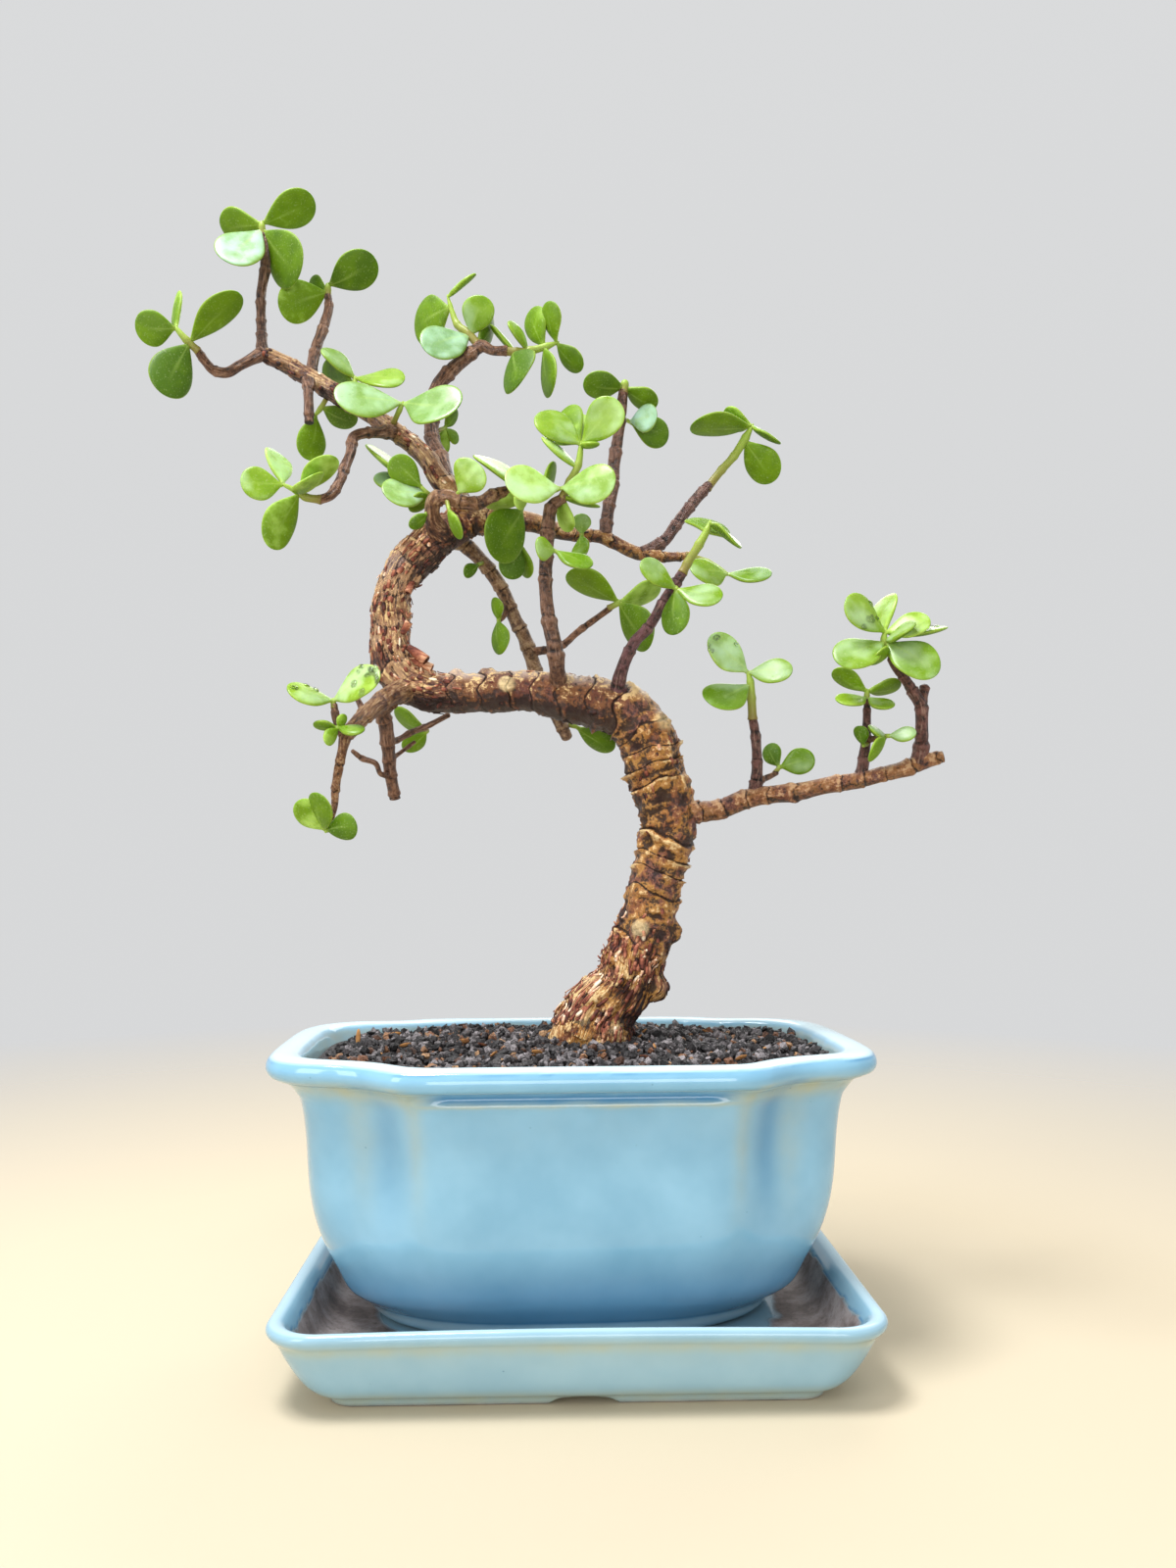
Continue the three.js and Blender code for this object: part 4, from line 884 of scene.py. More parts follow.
        ((-50.5, -5, 214.5), (-45, -5.5, 210), 1.5, 1.2),
        ((-50, -3, 211), (-43.5, -3, 208), 1.3, 1.1),
        ((-52.5, -5.5, 218.5), (-50, -6.5, 222), 1.1, 0.8),
        ((-49.5, -3, 236), (-51, -4.5, 231.5), 1.0, 0.8),
    ],
    "ringStep": 8.5,  # millimetres between the scars that ring the wood
    # old bark is stringy at the trunk's foot, below these heights, and left of these places; elsewhere
    # it is crumbly, in rings
    "stringyFoot": (128, 112),
    "stringyLeft": (-33, -44),
    "ruddyStretch": ((-46, -36), (24, 10), 196),  # where the trunk runs level its bark is dark and red
    "flakes": {
        "perSquareMillimetre": 0.3,
        "patch": 5.5,  # millimetres, the size of the places that are bare of flakes
        "length": (1.1, 3.0),
        "footLonger": 0.8,  # share by which they are longer at the trunk's foot
        "foot": (105, 128),
        "halfWidth": (0.3, 0.8),
        "thickness": 0.15,
        "curl": (0.0, 0.6),
        "curledShare": 0.006,  # these stand off the bark by up to raggedCurl
        "raggedCurl": 1.5,
        # where the bark peels in rags: [x, y, height, radius]
        "ragged": [
            [-50, -2, 236, 6], [-51, -1, 224, 5], [-51, -2, 213, 5], [-46, -2, 207, 4.5],
            [-50, -2, 197, 5], [13, 0, 120, 7], [-1, 0, 104, 7], [-37, -2, 196, 5],
        ],
    },
}


def ringWave(turns):
    # once a turn a soft swelling with a narrow seam on it, then a groove just past it
    share = turns - np.floor(turns)
    return 0.25 * np.cos(fullTurn * (share - 0.5)) + bands(share, [(0.5, 0.07, 0.85), (0.62, 0.05, -0.75)])


def barkRelief(points, grain, stringy, radius, age, turns, seed):
    # height over the plain tube: on old wood broad lumps, with long ridged fibres and sharp edged flakes
    # where it is stringy, and elsewhere rings and cracks that run round it; on young wood faint fibres
    # and rings
    fibre = grain / (6, 1.5, 1.5) + seed
    fine = 1 - 2 * np.abs(noise(fibre * 1.9, seed + 5))
    strands = 1 - 2 * np.abs(noise(fibre, seed))
    lumps = noise(points / 7.5, 21) + 0.5 * noise(points / 3.4, 22)
    plate = noise(fibre * np.array([1.1, 0.45, 0.45]) + 0.35 * lumps[..., None], seed + 9)
    flakes = smoothStep(0.02, 0.1, plate) - 0.9 * bell(plate, 0.0, 0.05)
    crumbs = 1 - 2.4 * np.abs(noise(grain / (2.3, 6, 6) + seed, 24)) + 0.8 * noise(points / 1.5, 25)
    seams = ringWave(turns) * np.clip(0.7 + 1.5 * noise(points / 6, 23), 0.1, 1.5)
    shreds = 0.5 * strands + 0.25 * fine + 0.5 * flakes + 0.15 * seams
    old = 0.6 * lumps + stringy * shreds + (1 - stringy) * (0.46 * crumbs + 0.85 * seams + 0.12) - 0.7
    young = 0.3 * ringWave(turns) + 0.07 * fine + 0.1 * lumps
    old = old * age * np.clip(radius / 8.5, 0.25, 1.1)
    return old + young * (1 - age) * np.clip(radius / 1.8, 0.35, 1.4)


def limbSurface(name, route, plan, seed, rough):
    # a circle of radius R(s), raised by the bark's relief, carried along the route: centre(s)
    # + (R + relief) (cos a e1 + sin a e2), with e1 the back as seen square to the route; the far end
    # closes in a shallow dome, and a sawn one nearly flat
    fineness = plan["trunkFineness"] if max(point[3] for point in route) > plan["trunkRadius"] else 1
    rowStep, columnStep = plan["ringSpacing"] * fineness, plan["columnSpacing"] * fineness
    path = smoothPath(route, rowStep if rough else 4)
    reach = path[-1, 3]
    forward = unit(path[-1, :3] - path[-2, :3])
    dome = np.linspace(0, math.pi / 2, 6)[1:-1, None]
    flat = 0.18 if name in plan["cutEnds"] else 0.7
    tip = np.hstack([path[-1, :3] + forward * flat * reach * np.sin(dome), reach * np.cos(dome)])
    rows = len(path)
    path = np.vstack([path, tip])
    centre, radius = path[:, None, :3], path[:, 3, None]
    tangent = np.gradient(path[:, :3], axis=0)
    tangent[rows:] = forward
    tangent = unit(tangent)
    back = np.array([0, 1, 0]) - tangent * tangent[:, 1:2]
    first = unit(back)[:, None]
    second = np.cross(tangent, first[:, 0])[:, None]
    columns = int(np.clip(fullTurn * radius.mean() / columnStep, 14, 120)) if rough else 16
    angle = np.linspace(0, fullTurn, columns, endpoint=False)[None] + 0 * radius
    outward = around(angle, first, second)
    walked = np.cumsum(np.linalg.norm(np.diff(path[:, :3], axis=0), axis=1))
    along = np.append(0, walked)[:, None] + 0 * angle
    thickness = np.maximum(radius, 0.75 * radius.max())
    age = smoothStep(plan["twigRadius"], plan["oldRadius"], thickness) + 0 * angle
    plain = centre + radius[..., None] * outward
    twist = angle + 0.012 * along
    grain = np.stack([along + 37 * seed, radius * np.cos(twist), radius * np.sin(twist)], axis=-1)
    wobble = noise(np.stack([np.cos(angle) * 1.4, np.sin(angle) * 1.4, along / 30 + seed], axis=-1), 31)
    walk = noise(np.stack([along / 17 + seed, 0 * along, 0 * along], axis=-1), 32)
    turns = (along + (0.35 + 2.8 * age) * wobble + 5 * walk) / plan["ringStep"]
    x, z = plain[..., 0], plain[..., 2]
    left = smoothStep(*plan["stringyLeft"], x) * (z > 180)
    stringy = np.maximum(smoothStep(*plan["stringyFoot"], z), 0.75 * left)
    leftEnd, rightEnd, under = plan["ruddyStretch"]
    ruddy = smoothStep(*leftEnd, x) * smoothStep(*rightEnd, x) * smoothStep(under - 12, under, z)
    ruddy = ruddy * (name == "trunk")
    relief = barkRelief(plain, grain, stringy, radius, age, turns, seed) * (1 - 0.35 * ruddy)
    height = relief - 0.5 * age * noise(plain / 7.5, 21)
    pale = 0 * angle
    for x, y, z, width, rise, paleness in plan["knobs"]:
        near = np.linalg.norm(plain - np.array([x, y, z]), axis=-1) / width
        relief = relief + rise * smoothStep(1.25, 0.35, near) - 0.5 * paleness * bell(near, 0, 0.35)
        pale = np.maximum(pale, paleness * smoothStep(1.0, 0.6, near))
    ending = 0 * angle
    ending[rows:] = 1
    relief = relief * (1 - 0.6 * ending)
    tone = np.array(colour(plan["tones"].get(name, plan["youngTone"]))[:3])
    upward = outward[..., 2]
    return {
        "rings": plain + relief[..., None] * outward, "outward": outward, "grain": grain,
        # the relief fact also carries painted light on tops and painted shade underneath, which lighten and
        # darken the bark's colour
        "relief": height / 2 + 0.52 + age * skyLitAndUnderShade(upward), "age": age, "pale": pale,
        "turns": turns, "stringy": stringy, "ruddy": ruddy,
        # painted light: old wood that faces the sky is painted pale, and the left end's old bark is pale as
        # well
        "litTopAndPaleLeft": np.maximum(smoothStep(0.35, 0.95, upward), 0.4 * left) * age,
        "cut": ending * (name in plan["cutEnds"]), "tone": tone + 0 * plain,
        "steps": (rowStep, columnStep),
    }


def skyLitAndUnderShade(upward):
    # above 0 on wood that faces the sky, painted lighter there as painted light from above, and below 0
    # under it, painted darker as painted shade
    return 0.14 * smoothStep(0.15, 0.9, upward) - 0.5 * smoothStep(0.0, 0.75, -upward)


def limbShell(surface):
    facts = {key: value for key, value in surface.items() if key not in ("rings", "outward", "steps")}
    return shell(turned(surface["rings"], treeTurn), **facts)


def sampled(grid, row, column):
    # values between the points of a grid that is closed round its columns, by shares of the four nearest
    low = np.clip(np.floor(row).astype(int), 0, len(grid) - 2)
    left = np.floor(column).astype(int)
    down, across = (row - low)[..., None], (column - left)[..., None]
    left, right = left % grid.shape[1], (left + 1) % grid.shape[1]
    return (
        (grid[low, left] * (1 - across) + grid[low, right] * across) * (1 - down)
        + (grid[low + 1, left] * (1 - across) + grid[low + 1, right] * across) * down
    )


def flakeShell(surface, plan, draw):
    # thin blades laid along the grain: at share s of its length one lies over the bark's surface,
    # raised by rest + curl s^2, with half width W sin(pi (0.12 + 0.72 s))^0.5 and a lens for its section
    flakes = plan["flakes"]
    rings, age = surface["rings"], surface["age"]
    rowStep, columnStep = surface["steps"]
    rows, columns = age.shape
    girth = np.linalg.norm(np.roll(rings, -1, axis=1) - rings, axis=-1).sum(1)
    weight = girth * rowStep * smoothStep(0.35, 0.9, age[:, 0])
    weight = weight * (0.05 + 0.95 * surface["stringy"].mean(1))
    count = int(weight.sum() * flakes["perSquareMillimetre"])
    row = draw.choice(rows, count, p=weight / weight.sum()) + draw.random(count)
    column = draw.uniform(0, columns, count)
    root = sampled(rings, np.clip(row, 0, rows - 2), column)
    kept = noise(root / flakes["patch"], 61) > draw.uniform(-0.7, 0.25, count)
    row, column, root = row[kept], column[kept], root[kept]
    count = len(row)
    length = draw.uniform(0, 1, count) ** 1.5 * np.ptp(flakes["length"]) + flakes["length"][0]
    length = length * (1 + flakes["footLonger"] * (1 - smoothStep(*flakes["foot"], root[:, 2])))
    slant = draw.normal(0, 0.16, count)
    way = draw.choice([-1, 1], count)
    share = np.linspace(0, 1, 6)[None]
    rowAt = row[:, None] + (way * length)[:, None] * share / rowStep
    columnAt = column[:, None] + (slant * length)[:, None] * share / columnStep
    rowAt = np.clip(rowAt, 0, rows - 2)
    spine, outward = sampled(rings, rowAt, columnAt), unit(sampled(surface["outward"], rowAt, columnAt))
    curl = draw.uniform(*flakes["curl"], count) ** 2
    ragged = draw.random(count) < flakes["curledShare"]
    for x, y, z, reach in flakes["ragged"]:
        ragged |= (np.linalg.norm(root - np.array([x, y, z]), axis=-1) < reach) & (draw.random(count) < 0.3)
    curl = np.where(ragged, draw.uniform(0.5, flakes["raggedCurl"], count), curl)
    lift = draw.uniform(0.0, 0.22, count)[:, None] + curl[:, None] * share ** 2
    spine = spine + lift[..., None] * outward
    forward = np.gradient(spine, axis=1)
    forward = unit(forward + 1e-6)
    side = unit(np.cross(outward, forward))
    upward = np.cross(forward, side)
    width = np.where(ragged, 0.9, draw.uniform(*flakes["halfWidth"], count))[:, None]
    width = width * np.sin(math.pi * (0.12 + 0.72 * share)) ** 0.5
    theta = np.linspace(0, fullTurn, 4, endpoint=False)
    blades = spine[:, :, None] + (
        (width[..., None] * np.cos(theta))[..., None] * side[:, :, None]
        + (flakes["thickness"] * np.sin(theta))[..., None] * upward[:, :, None]
    )
    # painted light and shade: flakes that face the sky are painted brighter, and those underneath darker
    skyLightAndUnderShade = skyLitAndUnderShade(outward[:, :1, 2:])
    bright = draw.beta(1.5, 2.2, count)[:, None, None] + 0.35 * (share[..., None] - 0.5)
    bright = np.clip(bright + 1.3 * skyLightAndUnderShade, 0, 1)
    grain = sampled(surface["grain"], rowAt, columnAt)[:, :, None]
    return shells(turned(blades, treeTurn), grain=grain, bright=bright)


def rollShell(start, end, radius, turns, draw):
    # a scroll of bark: after a turns of n round its axis the sheet is R (1 - a / 8n) (0.75 + s / 2) from
    # it at share s of its length, its outer face run one way and its inner face back
    start, end = np.array(start, float), np.array(end, float)
    share = np.linspace(0, 1, 12)[:, None]
    axis = unit(end - start)
    first = unit(np.cross(axis, [0, 1, 0.2]))
    second = np.cross(axis, first)
    swept = np.linspace(0, fullTurn * turns, 20)
    angle = np.concatenate([swept, swept[::-1]])[None]
    sheet = np.concatenate([0 * swept, 0 * swept + 0.28])[None]
    ragged = noise(np.stack([3 * share + 0 * angle, angle + 0 * share, 0 * angle * share], -1), 71)
    reach = radius * (1 - angle / (8 * turns) / fullTurn) * (1 + 0.16 * ragged) * (0.75 + 0.5 * share)
    outward = around(angle, first, second)
    rings = start + share[..., None] * (end - start) + (reach - sheet)[..., None] * outward
    bright = 0.25 + 0.5 * share * (sheet == 0) + draw.uniform(-0.1, 0.1)
    return shell(turned(rings, treeTurn), grain=rings, bright=bright)


# Dwarf jade bark: golden tan and papery where it lifts in flakes, red brown beneath, near black in the
# cracks, partly as painted shade, with painted highlights on its crests, and painted lighter on top and
# darker underneath as painted light and shade;
# young wood is smooth, grey brown to purple, with a faint painted sheen in pale streaks.
barkLook = {
    # dark bark in the cracks, darkened further as painted shade
    "darkCrackAndShade": "#25120C",
    "under": [
        (0.32, "#5A2C1C"), (0.42, "#824A28"), (0.5, "#A8702F"), (0.57, "#B8843E"), (0.64, "#8A5236"),
        (0.72, "#66403E"),
    ],
    "raised": "#C08446",
    # painted highlight on the bark's crests
    "paintedCrestHighlight": "#EFCB90",
    "ruddy": "#5E2A1C",
    # pale colour of sky-facing tops, a painted light, and of the pale left end
    "litTopAndPaleLeft": "#DAC2B2",
    "scar": "#E6CC98",
    "shade": [(0.1, "#2E1F1A"), (0.42, "#B3A297"), (0.75, "#FFFFFF")],  # of young wood, by its height
    # pale streaks along the grain of young wood: a painted sheen
    "worn": "#B99A86",
    "cut": "#1A100C",
    "fibre": (5, 0.7),  # length and width in millimetres
    "ringLine": 0.61,  # share of a turn at which the dark line of a ring lies
    "flake": [(0.0, "#24100B"), (0.26, "#662F21"), (0.5, "#96543C"), (0.76, "#D09872"), (1.0, "#FAE4C6")],
}


def threads(tree, look):
    # noise drawn out along the wood's grain
    length, width = look["fibre"]
    drawn = add(tree, "VectorMath", {
        0: fact(tree, "grain", "Vector"), 1: (1 / length, 1 / width, 1 / width),
    }, operation="MULTIPLY").outputs["Vector"]
    return clouds(tree, drawn, 1, 5, 0.65, 0.6)


def barkMaterial(name, look):
    # old bark is coloured in patches and by its height, from cracks in painted shade to crests with painted
    # highlights, and is painted lighter on top and darker underneath as painted light and shade; young wood
    # has its limb's own tone, shaded by its height, with a painted sheen in pale streaks; both have a dark
    # line at each ring
    material, tree = newMaterial(name, Roughness=0.45, IOR=1.45, Specular_IOR_Level=0.6)
    place, fibres = objectPlace(tree), threads(tree, look)
    age, stringy, turns = (fact(tree, key) for key in ("age", "stringy", "turns"))
    crumbs = clouds(tree, place, 800, 4, 0.7)
    scar = maths(tree, "ABSOLUTE", maths(tree, "SUBTRACT", maths(tree, "FRACT", turns), look["ringLine"]))
    scar = ranged(tree, summed(tree, scar, ranged(tree, crumbs, 0.3, 0.7, -0.02, 0.03)), 0.0, 0.05, 1, 0)
    scar = product(tree, scar, ranged(tree, age, 0, 1, 0.3, 0.85), ranged(tree, stringy, 0, 1, 1, 0.15))
    grainy = mixed(tree, ranged(tree, stringy, 0, 1, 0.15, 1), clouds(tree, place, 420, 6, 0.72), fibres)
    relief = summed(
        tree, fact(tree, "relief"), ranged(tree, grainy, 0.3, 0.7, -0.6, 0.6),
        ranged(tree, crumbs, 0.3, 0.7, -0.24, 0.24), product(tree, scar, -1),
    )
    ring = maths(tree, "FLOOR", summed(tree, turns, 1 - look["ringLine"]))
    ringTone = add(tree, "TexWhiteNoise", {"W": ring}, noise_dimensions="1D").outputs["Value"]
    patches = summed(tree, clouds(tree, place, 110, 4, 0.55), ranged(tree, ringTone, 0, 1, -0.07, 0.07))
    # painted light: tops that face the sky, and the pale left end, are mottled pale
    mottled = product(tree, fact(tree, "litTopAndPaleLeft"), ranged(tree, patches, 0.38, 0.55, 0.1, 0.75))
    knotty = product(tree, fact(tree, "pale"), ranged(tree, grainy, 0.32, 0.55, 0.15, 0.95))
    old = layered(tree, ramp(tree, patches, look["under"]), [
        (ranged(tree, relief, 0.4, 0.62, 0, 0.6), look["raised"]),
        (product(tree, fact(tree, "ruddy"), 0.72), look["ruddy"]),
        (mottled, look["litTopAndPaleLeft"]),
        # painted highlight on the crests
        (ranged(tree, relief, 0.56, 0.78), look["paintedCrestHighlight"]),
        # dark cracks, in part painted shade
        (ranged(tree, relief, 0.27, 0.04, 0, 0.92), look["darkCrackAndShade"]),
        (knotty, look["scar"]),
    ])
    young = mixed(tree, 1.0, fact(tree, "tone", "Color"), ramp(tree, relief, look["shade"]), "MULTIPLY")
    paint = layered(tree, young, [
        # painted sheen: pale streaks along the grain
        (ranged(tree, fibres, 0.54, 0.7, 0, 0.5), look["worn"]),
        (age, old),
        (product(tree, fact(tree, "cut"), 0.95), look["cut"]),
    ])
    height = summed(tree, grainy, product(tree, crumbs, 0.4), product(tree, scar, -0.5))
    plug(
        tree, Base_Color=paint, Roughness=ranged(tree, age, 0, 1, 0.38, 0.42),
        Normal=bumped(tree, height, 1.0, 0.0017),
    )
    return material


def flakeMaterial(name, look):
    # Papery outer bark: dry, matt flakes from rust brown to pale straw, with threads along them; their
    # brightness carries painted light on top and painted shade underneath.
    material, tree = newMaterial(name, Roughness=0.7, IOR=1.45)
    fibres = threads(tree, look)
    bright = summed(tree, fact(tree, "bright"), ranged(tree, fibres, 0.3, 0.7, -0.25, 0.25))
    plug(tree, Base_Color=ramp(tree, bright, look["flake"]), Normal=bumped(tree, fibres, 0.7, 0.0004))
    return material


surfaces, rootSurfaces = (
    [limbSurface(*item, treePlan, seed, rough) for seed, item in enumerate(routes.items(), first)]
    for routes, first, rough in ((treePlan["limbs"], 0, True), (treePlan["roots"], 50, False))
)
wood = joined([limbShell(surface) for surface in surfaces + rootSurfaces])
addPiece("woodyGrowth", wood, barkMaterial("flakingBark", barkLook), ["tree"])
draw = np.random.default_rng(treePlan["seed"])
peeling = joined(
    [flakeShell(surface, treePlan, draw) for surface in surfaces if surface["age"].max() > 0.6]
    + [rollShell(*roll, draw) for roll in treePlan["rolls"]]
)
addPiece("barkFlakes", peeling, flakeMaterial("paperyBark", barkLook))
print("tree made,", len(wood["quads"]) * 2, "triangles of wood and", len(peeling["quads"]) * 2, "of flakes")

# The soil: a bed of packed charcoal grit with loose grains over it.
soilPlan = {
    "seed": 7,
    "edge": 88.6,  # height of the soil's edge
    "mound": 2.8,  # how much higher its middle is
    "halfLength": 78.5,
    "halfDepth": 50,
    "slump": 2.8,  # how much lower its left end is
    "sunk": 1.0,  # the bed lies this much under the grains' tops
    "profile": [
        [44, 17.3], [51.6, 18.3], [65.2, 26.8], [71.4, 42.2], [73.1, 60], [75.5, 78], [77.9, 87.2],
    ],
    "columns": 40,
    "grains": 5200,
    "grainSize": (0.7, 1.75),  # half width of the smallest and largest
    "scatter": (79.5, 52),
    "grainLimit": 78.1,  # half length of the outline that they stay in
    "brownShare": 0.12,
    "trunkFoot": (6, 0, 11.5),  # they stay out of this circle: x, y, radius
}


def soilHeight(x, y, plan):
    # a low mound with soft lumps on it, slumped at its left end: edge + mound (1 - (x/a)^2 - (y/b)^2)
    # + noise - slump
    rise = 1 - (x / plan["halfLength"]) ** 2 - (y / plan["halfDepth"]) ** 2
    lumps = noise(np.stack([x / 11, y / 11, 0 * x], axis=-1), 43)
    lumpy = plan["mound"] * np.maximum(rise, 0) + 0.7 * lumps * smoothStep(0.0, 0.2, rise)
    return plan["edge"] + lumpy - plan["slump"] * smoothStep(-65, -76, x)


def soilShell(plan):
    # the pot's outline from the floor up its inner wall, then rings shrinking to the middle whose
    # height is the mound's, less the sunk depth and a little noise
    profile = np.array(plan["profile"])
    shrink = np.linspace(1, 0.04, 26)[1:]
    edge = profile[-1, 0]
    length = np.append(profile[:, 0], edge * shrink)[:, None]
    side = np.append(profile[:, 1], profile[-1, 1] + 0 * shrink)[:, None]
    isTop = np.arange(len(length))[:, None] >= len(profile)
    depth = np.where(isTop, potDepth(edge) * length / edge, potDepth(length))
    outline = fullOutline(potPlan["fluted"], plan["columns"])
    x, y = outline[None, :, 0] * length, outline[None, :, 1] * depth
    top = soilHeight(x, y, plan) - plan["sunk"]
    top = top + 0.4 * noise(np.stack([x / 2, y / 2, 0 * x], axis=-1), 41)
    return shell(turned(np.stack([x, y, np.where(isTop, top, side)], axis=-1), 0), tint=0.3)


def grainShells(plan):
    # each grain is a twenty sided lump whose twelve corners are pushed in and out, stretched, turned
    # at random and laid on the mound
    draw = np.random.default_rng(plan["seed"])
    golden = (1 + math.sqrt(5)) / 2
    corners = np.array([
        [-1, golden, 0], [1, golden, 0], [-1, -golden, 0], [1, -golden, 0],
        [0, -1, golden], [0, 1, golden], [0, -1, -golden], [0, 1, -golden],
        [golden, 0, -1], [golden, 0, 1], [-golden, 0, -1], [-golden, 0, 1],
    ]) / math.hypot(1, golden)
    faces = np.array([
        [0, 11, 5], [0, 5, 1], [0, 1, 7], [0, 7, 10], [0, 10, 11], [1, 5, 9], [5, 11, 4], [11, 10, 2],
        [10, 7, 6], [7, 1, 8], [3, 9, 4], [3, 4, 2], [3, 2, 6], [3, 6, 8], [3, 8, 9], [4, 9, 5],
        [2, 4, 11], [6, 2, 10], [8, 6, 7], [9, 8, 1],
    ])
    count = plan["grains"]
    spread = draw.uniform(-1, 1, (4 * count, 2)) * plan["scatter"]
    outline = fullOutline(potPlan["fluted"], plan["columns"])
    edge = np.hypot(*outline.T)
    order = np.argsort(np.arctan2(outline[:, 1], outline[:, 0]))
    heading = np.arctan2(outline[order, 1], outline[order, 0])
    shares = spread / (plan["grainLimit"], potDepth(plan["grainLimit"]))
    allowed = np.interp(np.arctan2(shares[:, 1], shares[:, 0]), heading, edge[order], period=fullTurn)
    spread = spread[np.hypot(*shares.T) < allowed - 0.005]
    footX, footY, footRadius = plan["trunkFoot"]
    spread = spread[np.hypot(spread[:, 0] - footX, spread[:, 1] - footY) > footRadius][:count]
    size = draw.uniform(*plan["grainSize"], len(spread)) * draw.uniform(0.8, 1.15, len(spread))
    lift = draw.uniform(-0.8, 0.75, len(spread)) * size
    middle = np.column_stack([spread, soilHeight(*spread.T, plan) + lift - 0.2])
    shape = corners[None] * draw.uniform(0.55, 1.3, (len(spread), 12, 1))
    shape = shape * draw.uniform(0.55, 1.25, (len(spread), 1, 3)) * size[:, None, None]
    axis = unit(draw.normal(size=(len(spread), 1, 3)))
    angle = draw.uniform(0, fullTurn, (len(spread), 1, 1))
    along = (shape * axis).sum(-1, keepdims=True) * axis
    across = np.cross(np.broadcast_to(axis, shape.shape), shape)
    points = along + (shape - along) * np.cos(angle) + across * np.sin(angle) + middle[:, None]
    isBrown = draw.random(len(spread)) < plan["brownShare"]
    tint = np.where(isBrown, draw.uniform(0.65, 1, len(spread)), draw.uniform(0, 0.5, len(spread)))
    start = 12 * np.arange(len(spread))[:, None, None]
    return {
        "points": turned(points.reshape(-1, 3), 0),
        "quads": np.empty((0, 4), int),
        "triangles": (faces[None] + start).reshape(-1, 3),
        "tint": np.repeat(tint, 12),
    }


# Crushed charcoal and fired clay grit: dull, porous, dark grey with the odd rust brown or tan grain.
gritLook = {
    "grain": [
        (0.0, "#0E0C0E"), (0.3, "#3A3536"), (0.5, "#A49C9E"), (0.64, "#4A2F22"), (0.8, "#8A5838"),
        (1.0, "#C09468"),
    ],
    "pore": "#0A090A",
    "dust": "#8C8588",
}


def gritMaterial(name, look):
    material, tree = newMaterial(name, IOR=1.5)
    pores = clouds(tree, objectPlace(tree), 1500, 4, 0.75)
    paint = layered(tree, ramp(tree, fact(tree, "tint"), look["grain"]), [
        (ranged(tree, pores, 0.42, 0.62, 0, 0.75), look["pore"]),
        (ranged(tree, pores, 0.4, 0.3, 0, 0.35), look["dust"]),
    ])
    plug(
        tree, Base_Color=paint, Roughness=ranged(tree, pores, 0.35, 0.65, 0.38, 0.9),
        Normal=bumped(tree, pores, 0.7, 0.0003),
    )
    return material


# Dry litter on the soil: a sliver that stands up, a twig end and chips of bark.
litterPlan = {
    "seed": 31,
    # [start], [end], half width
    "bits": [
        ([-68.6, 6.4, 88], [-68.2, 6, 93.8], 0.8), ([19.5, 14, 90], [18.6, 13.5, 98.2], 0.35),
        ([18.8, 13.5, 97.2], [18.5, 13.4, 100.6], 1.1), ([-60, 14, 90.6], [-56, 15, 91.2], 0.9),
        ([-52, -14, 91.2], [-48.5, -13, 91.8], 0.7),
    ],
    "chips": 22,
    "scatter": (62, 36),
    "chipLength": (1.6, 4.2),
    "brown": ("#5A2E1C", "#C08A50"),
}


def litterShell(plan):
    # thin blades: at share s of its length one has the half width W sin(pi (0.08 + 0.84 s))^0.7 and a
    # third of that for its half thickness; the chips lie at random on the mound
    draw = np.random.default_rng(plan["seed"])
    place = draw.uniform(-1, 1, (plan["chips"], 2)) * plan["scatter"]
    heading = draw.uniform(0, fullTurn, plan["chips"])
    half = draw.uniform(*plan["chipLength"], plan["chips"]) / 2
    middle = np.column_stack([place, soilHeight(*place.T, soilPlan) + 1.1])
    tilt = draw.uniform(-0.5, 0.9, plan["chips"])
    away = np.column_stack([half * np.cos(heading), half * np.sin(heading), tilt])
    start = np.concatenate([[bit[0] for bit in plan["bits"]], middle - away])[:, None, None]
    end = np.concatenate([[bit[1] for bit in plan["bits"]], middle + away])[:, None, None]
    widest = np.append([bit[2] for bit in plan["bits"]], draw.uniform(0.3, 0.55, plan["chips"]) * half)
    share = np.linspace(0, 1, 8)[None, :, None]
    theta = np.linspace(0, fullTurn, 8, endpoint=False)[None, None]
    width = widest[:, None, None] * np.sin(math.pi * (0.08 + 0.84 * share)) ** 0.7
    along = unit(end - start)
    side = unit(np.cross(along, [0.1, 0.9, 0.4]))
    upward = np.cross(along, side)
    points = start + share[..., None] * (end - start) + (width * np.cos(theta))[..., None] * side
    points = points + (width / 3 * np.sin(theta))[..., None] * upward
    return shells(turned(points, treeTurn), tint=draw.uniform(0, 1, (len(widest), 1, 1)))


def litterMaterial(name, browns):
    # Dead bark and leaf: dull, dry and fibrous, rust brown to straw.
    material, tree = newMaterial(name, Roughness=0.85, IOR=1.45)
    strands = clouds(tree, objectPlace(tree), 900, 4)
    tint = summed(tree, fact(tree, "tint"), ranged(tree, strands, 0.3, 0.7, -0.3, 0.3))
    plug(tree, Base_Color=mixed(tree, tint, *browns))
    return material


grit = gritMaterial("charcoalGrit", gritLook)
dry = litterMaterial("dryLitter", litterPlan["brown"])
addPiece("litter", litterShell(litterPlan), dry)
addPiece("soilBed", soilShell(soilPlan), grit, ["soil"])
addPiece("looseGrit", grainShells(soilPlan), grit, smooth=False)

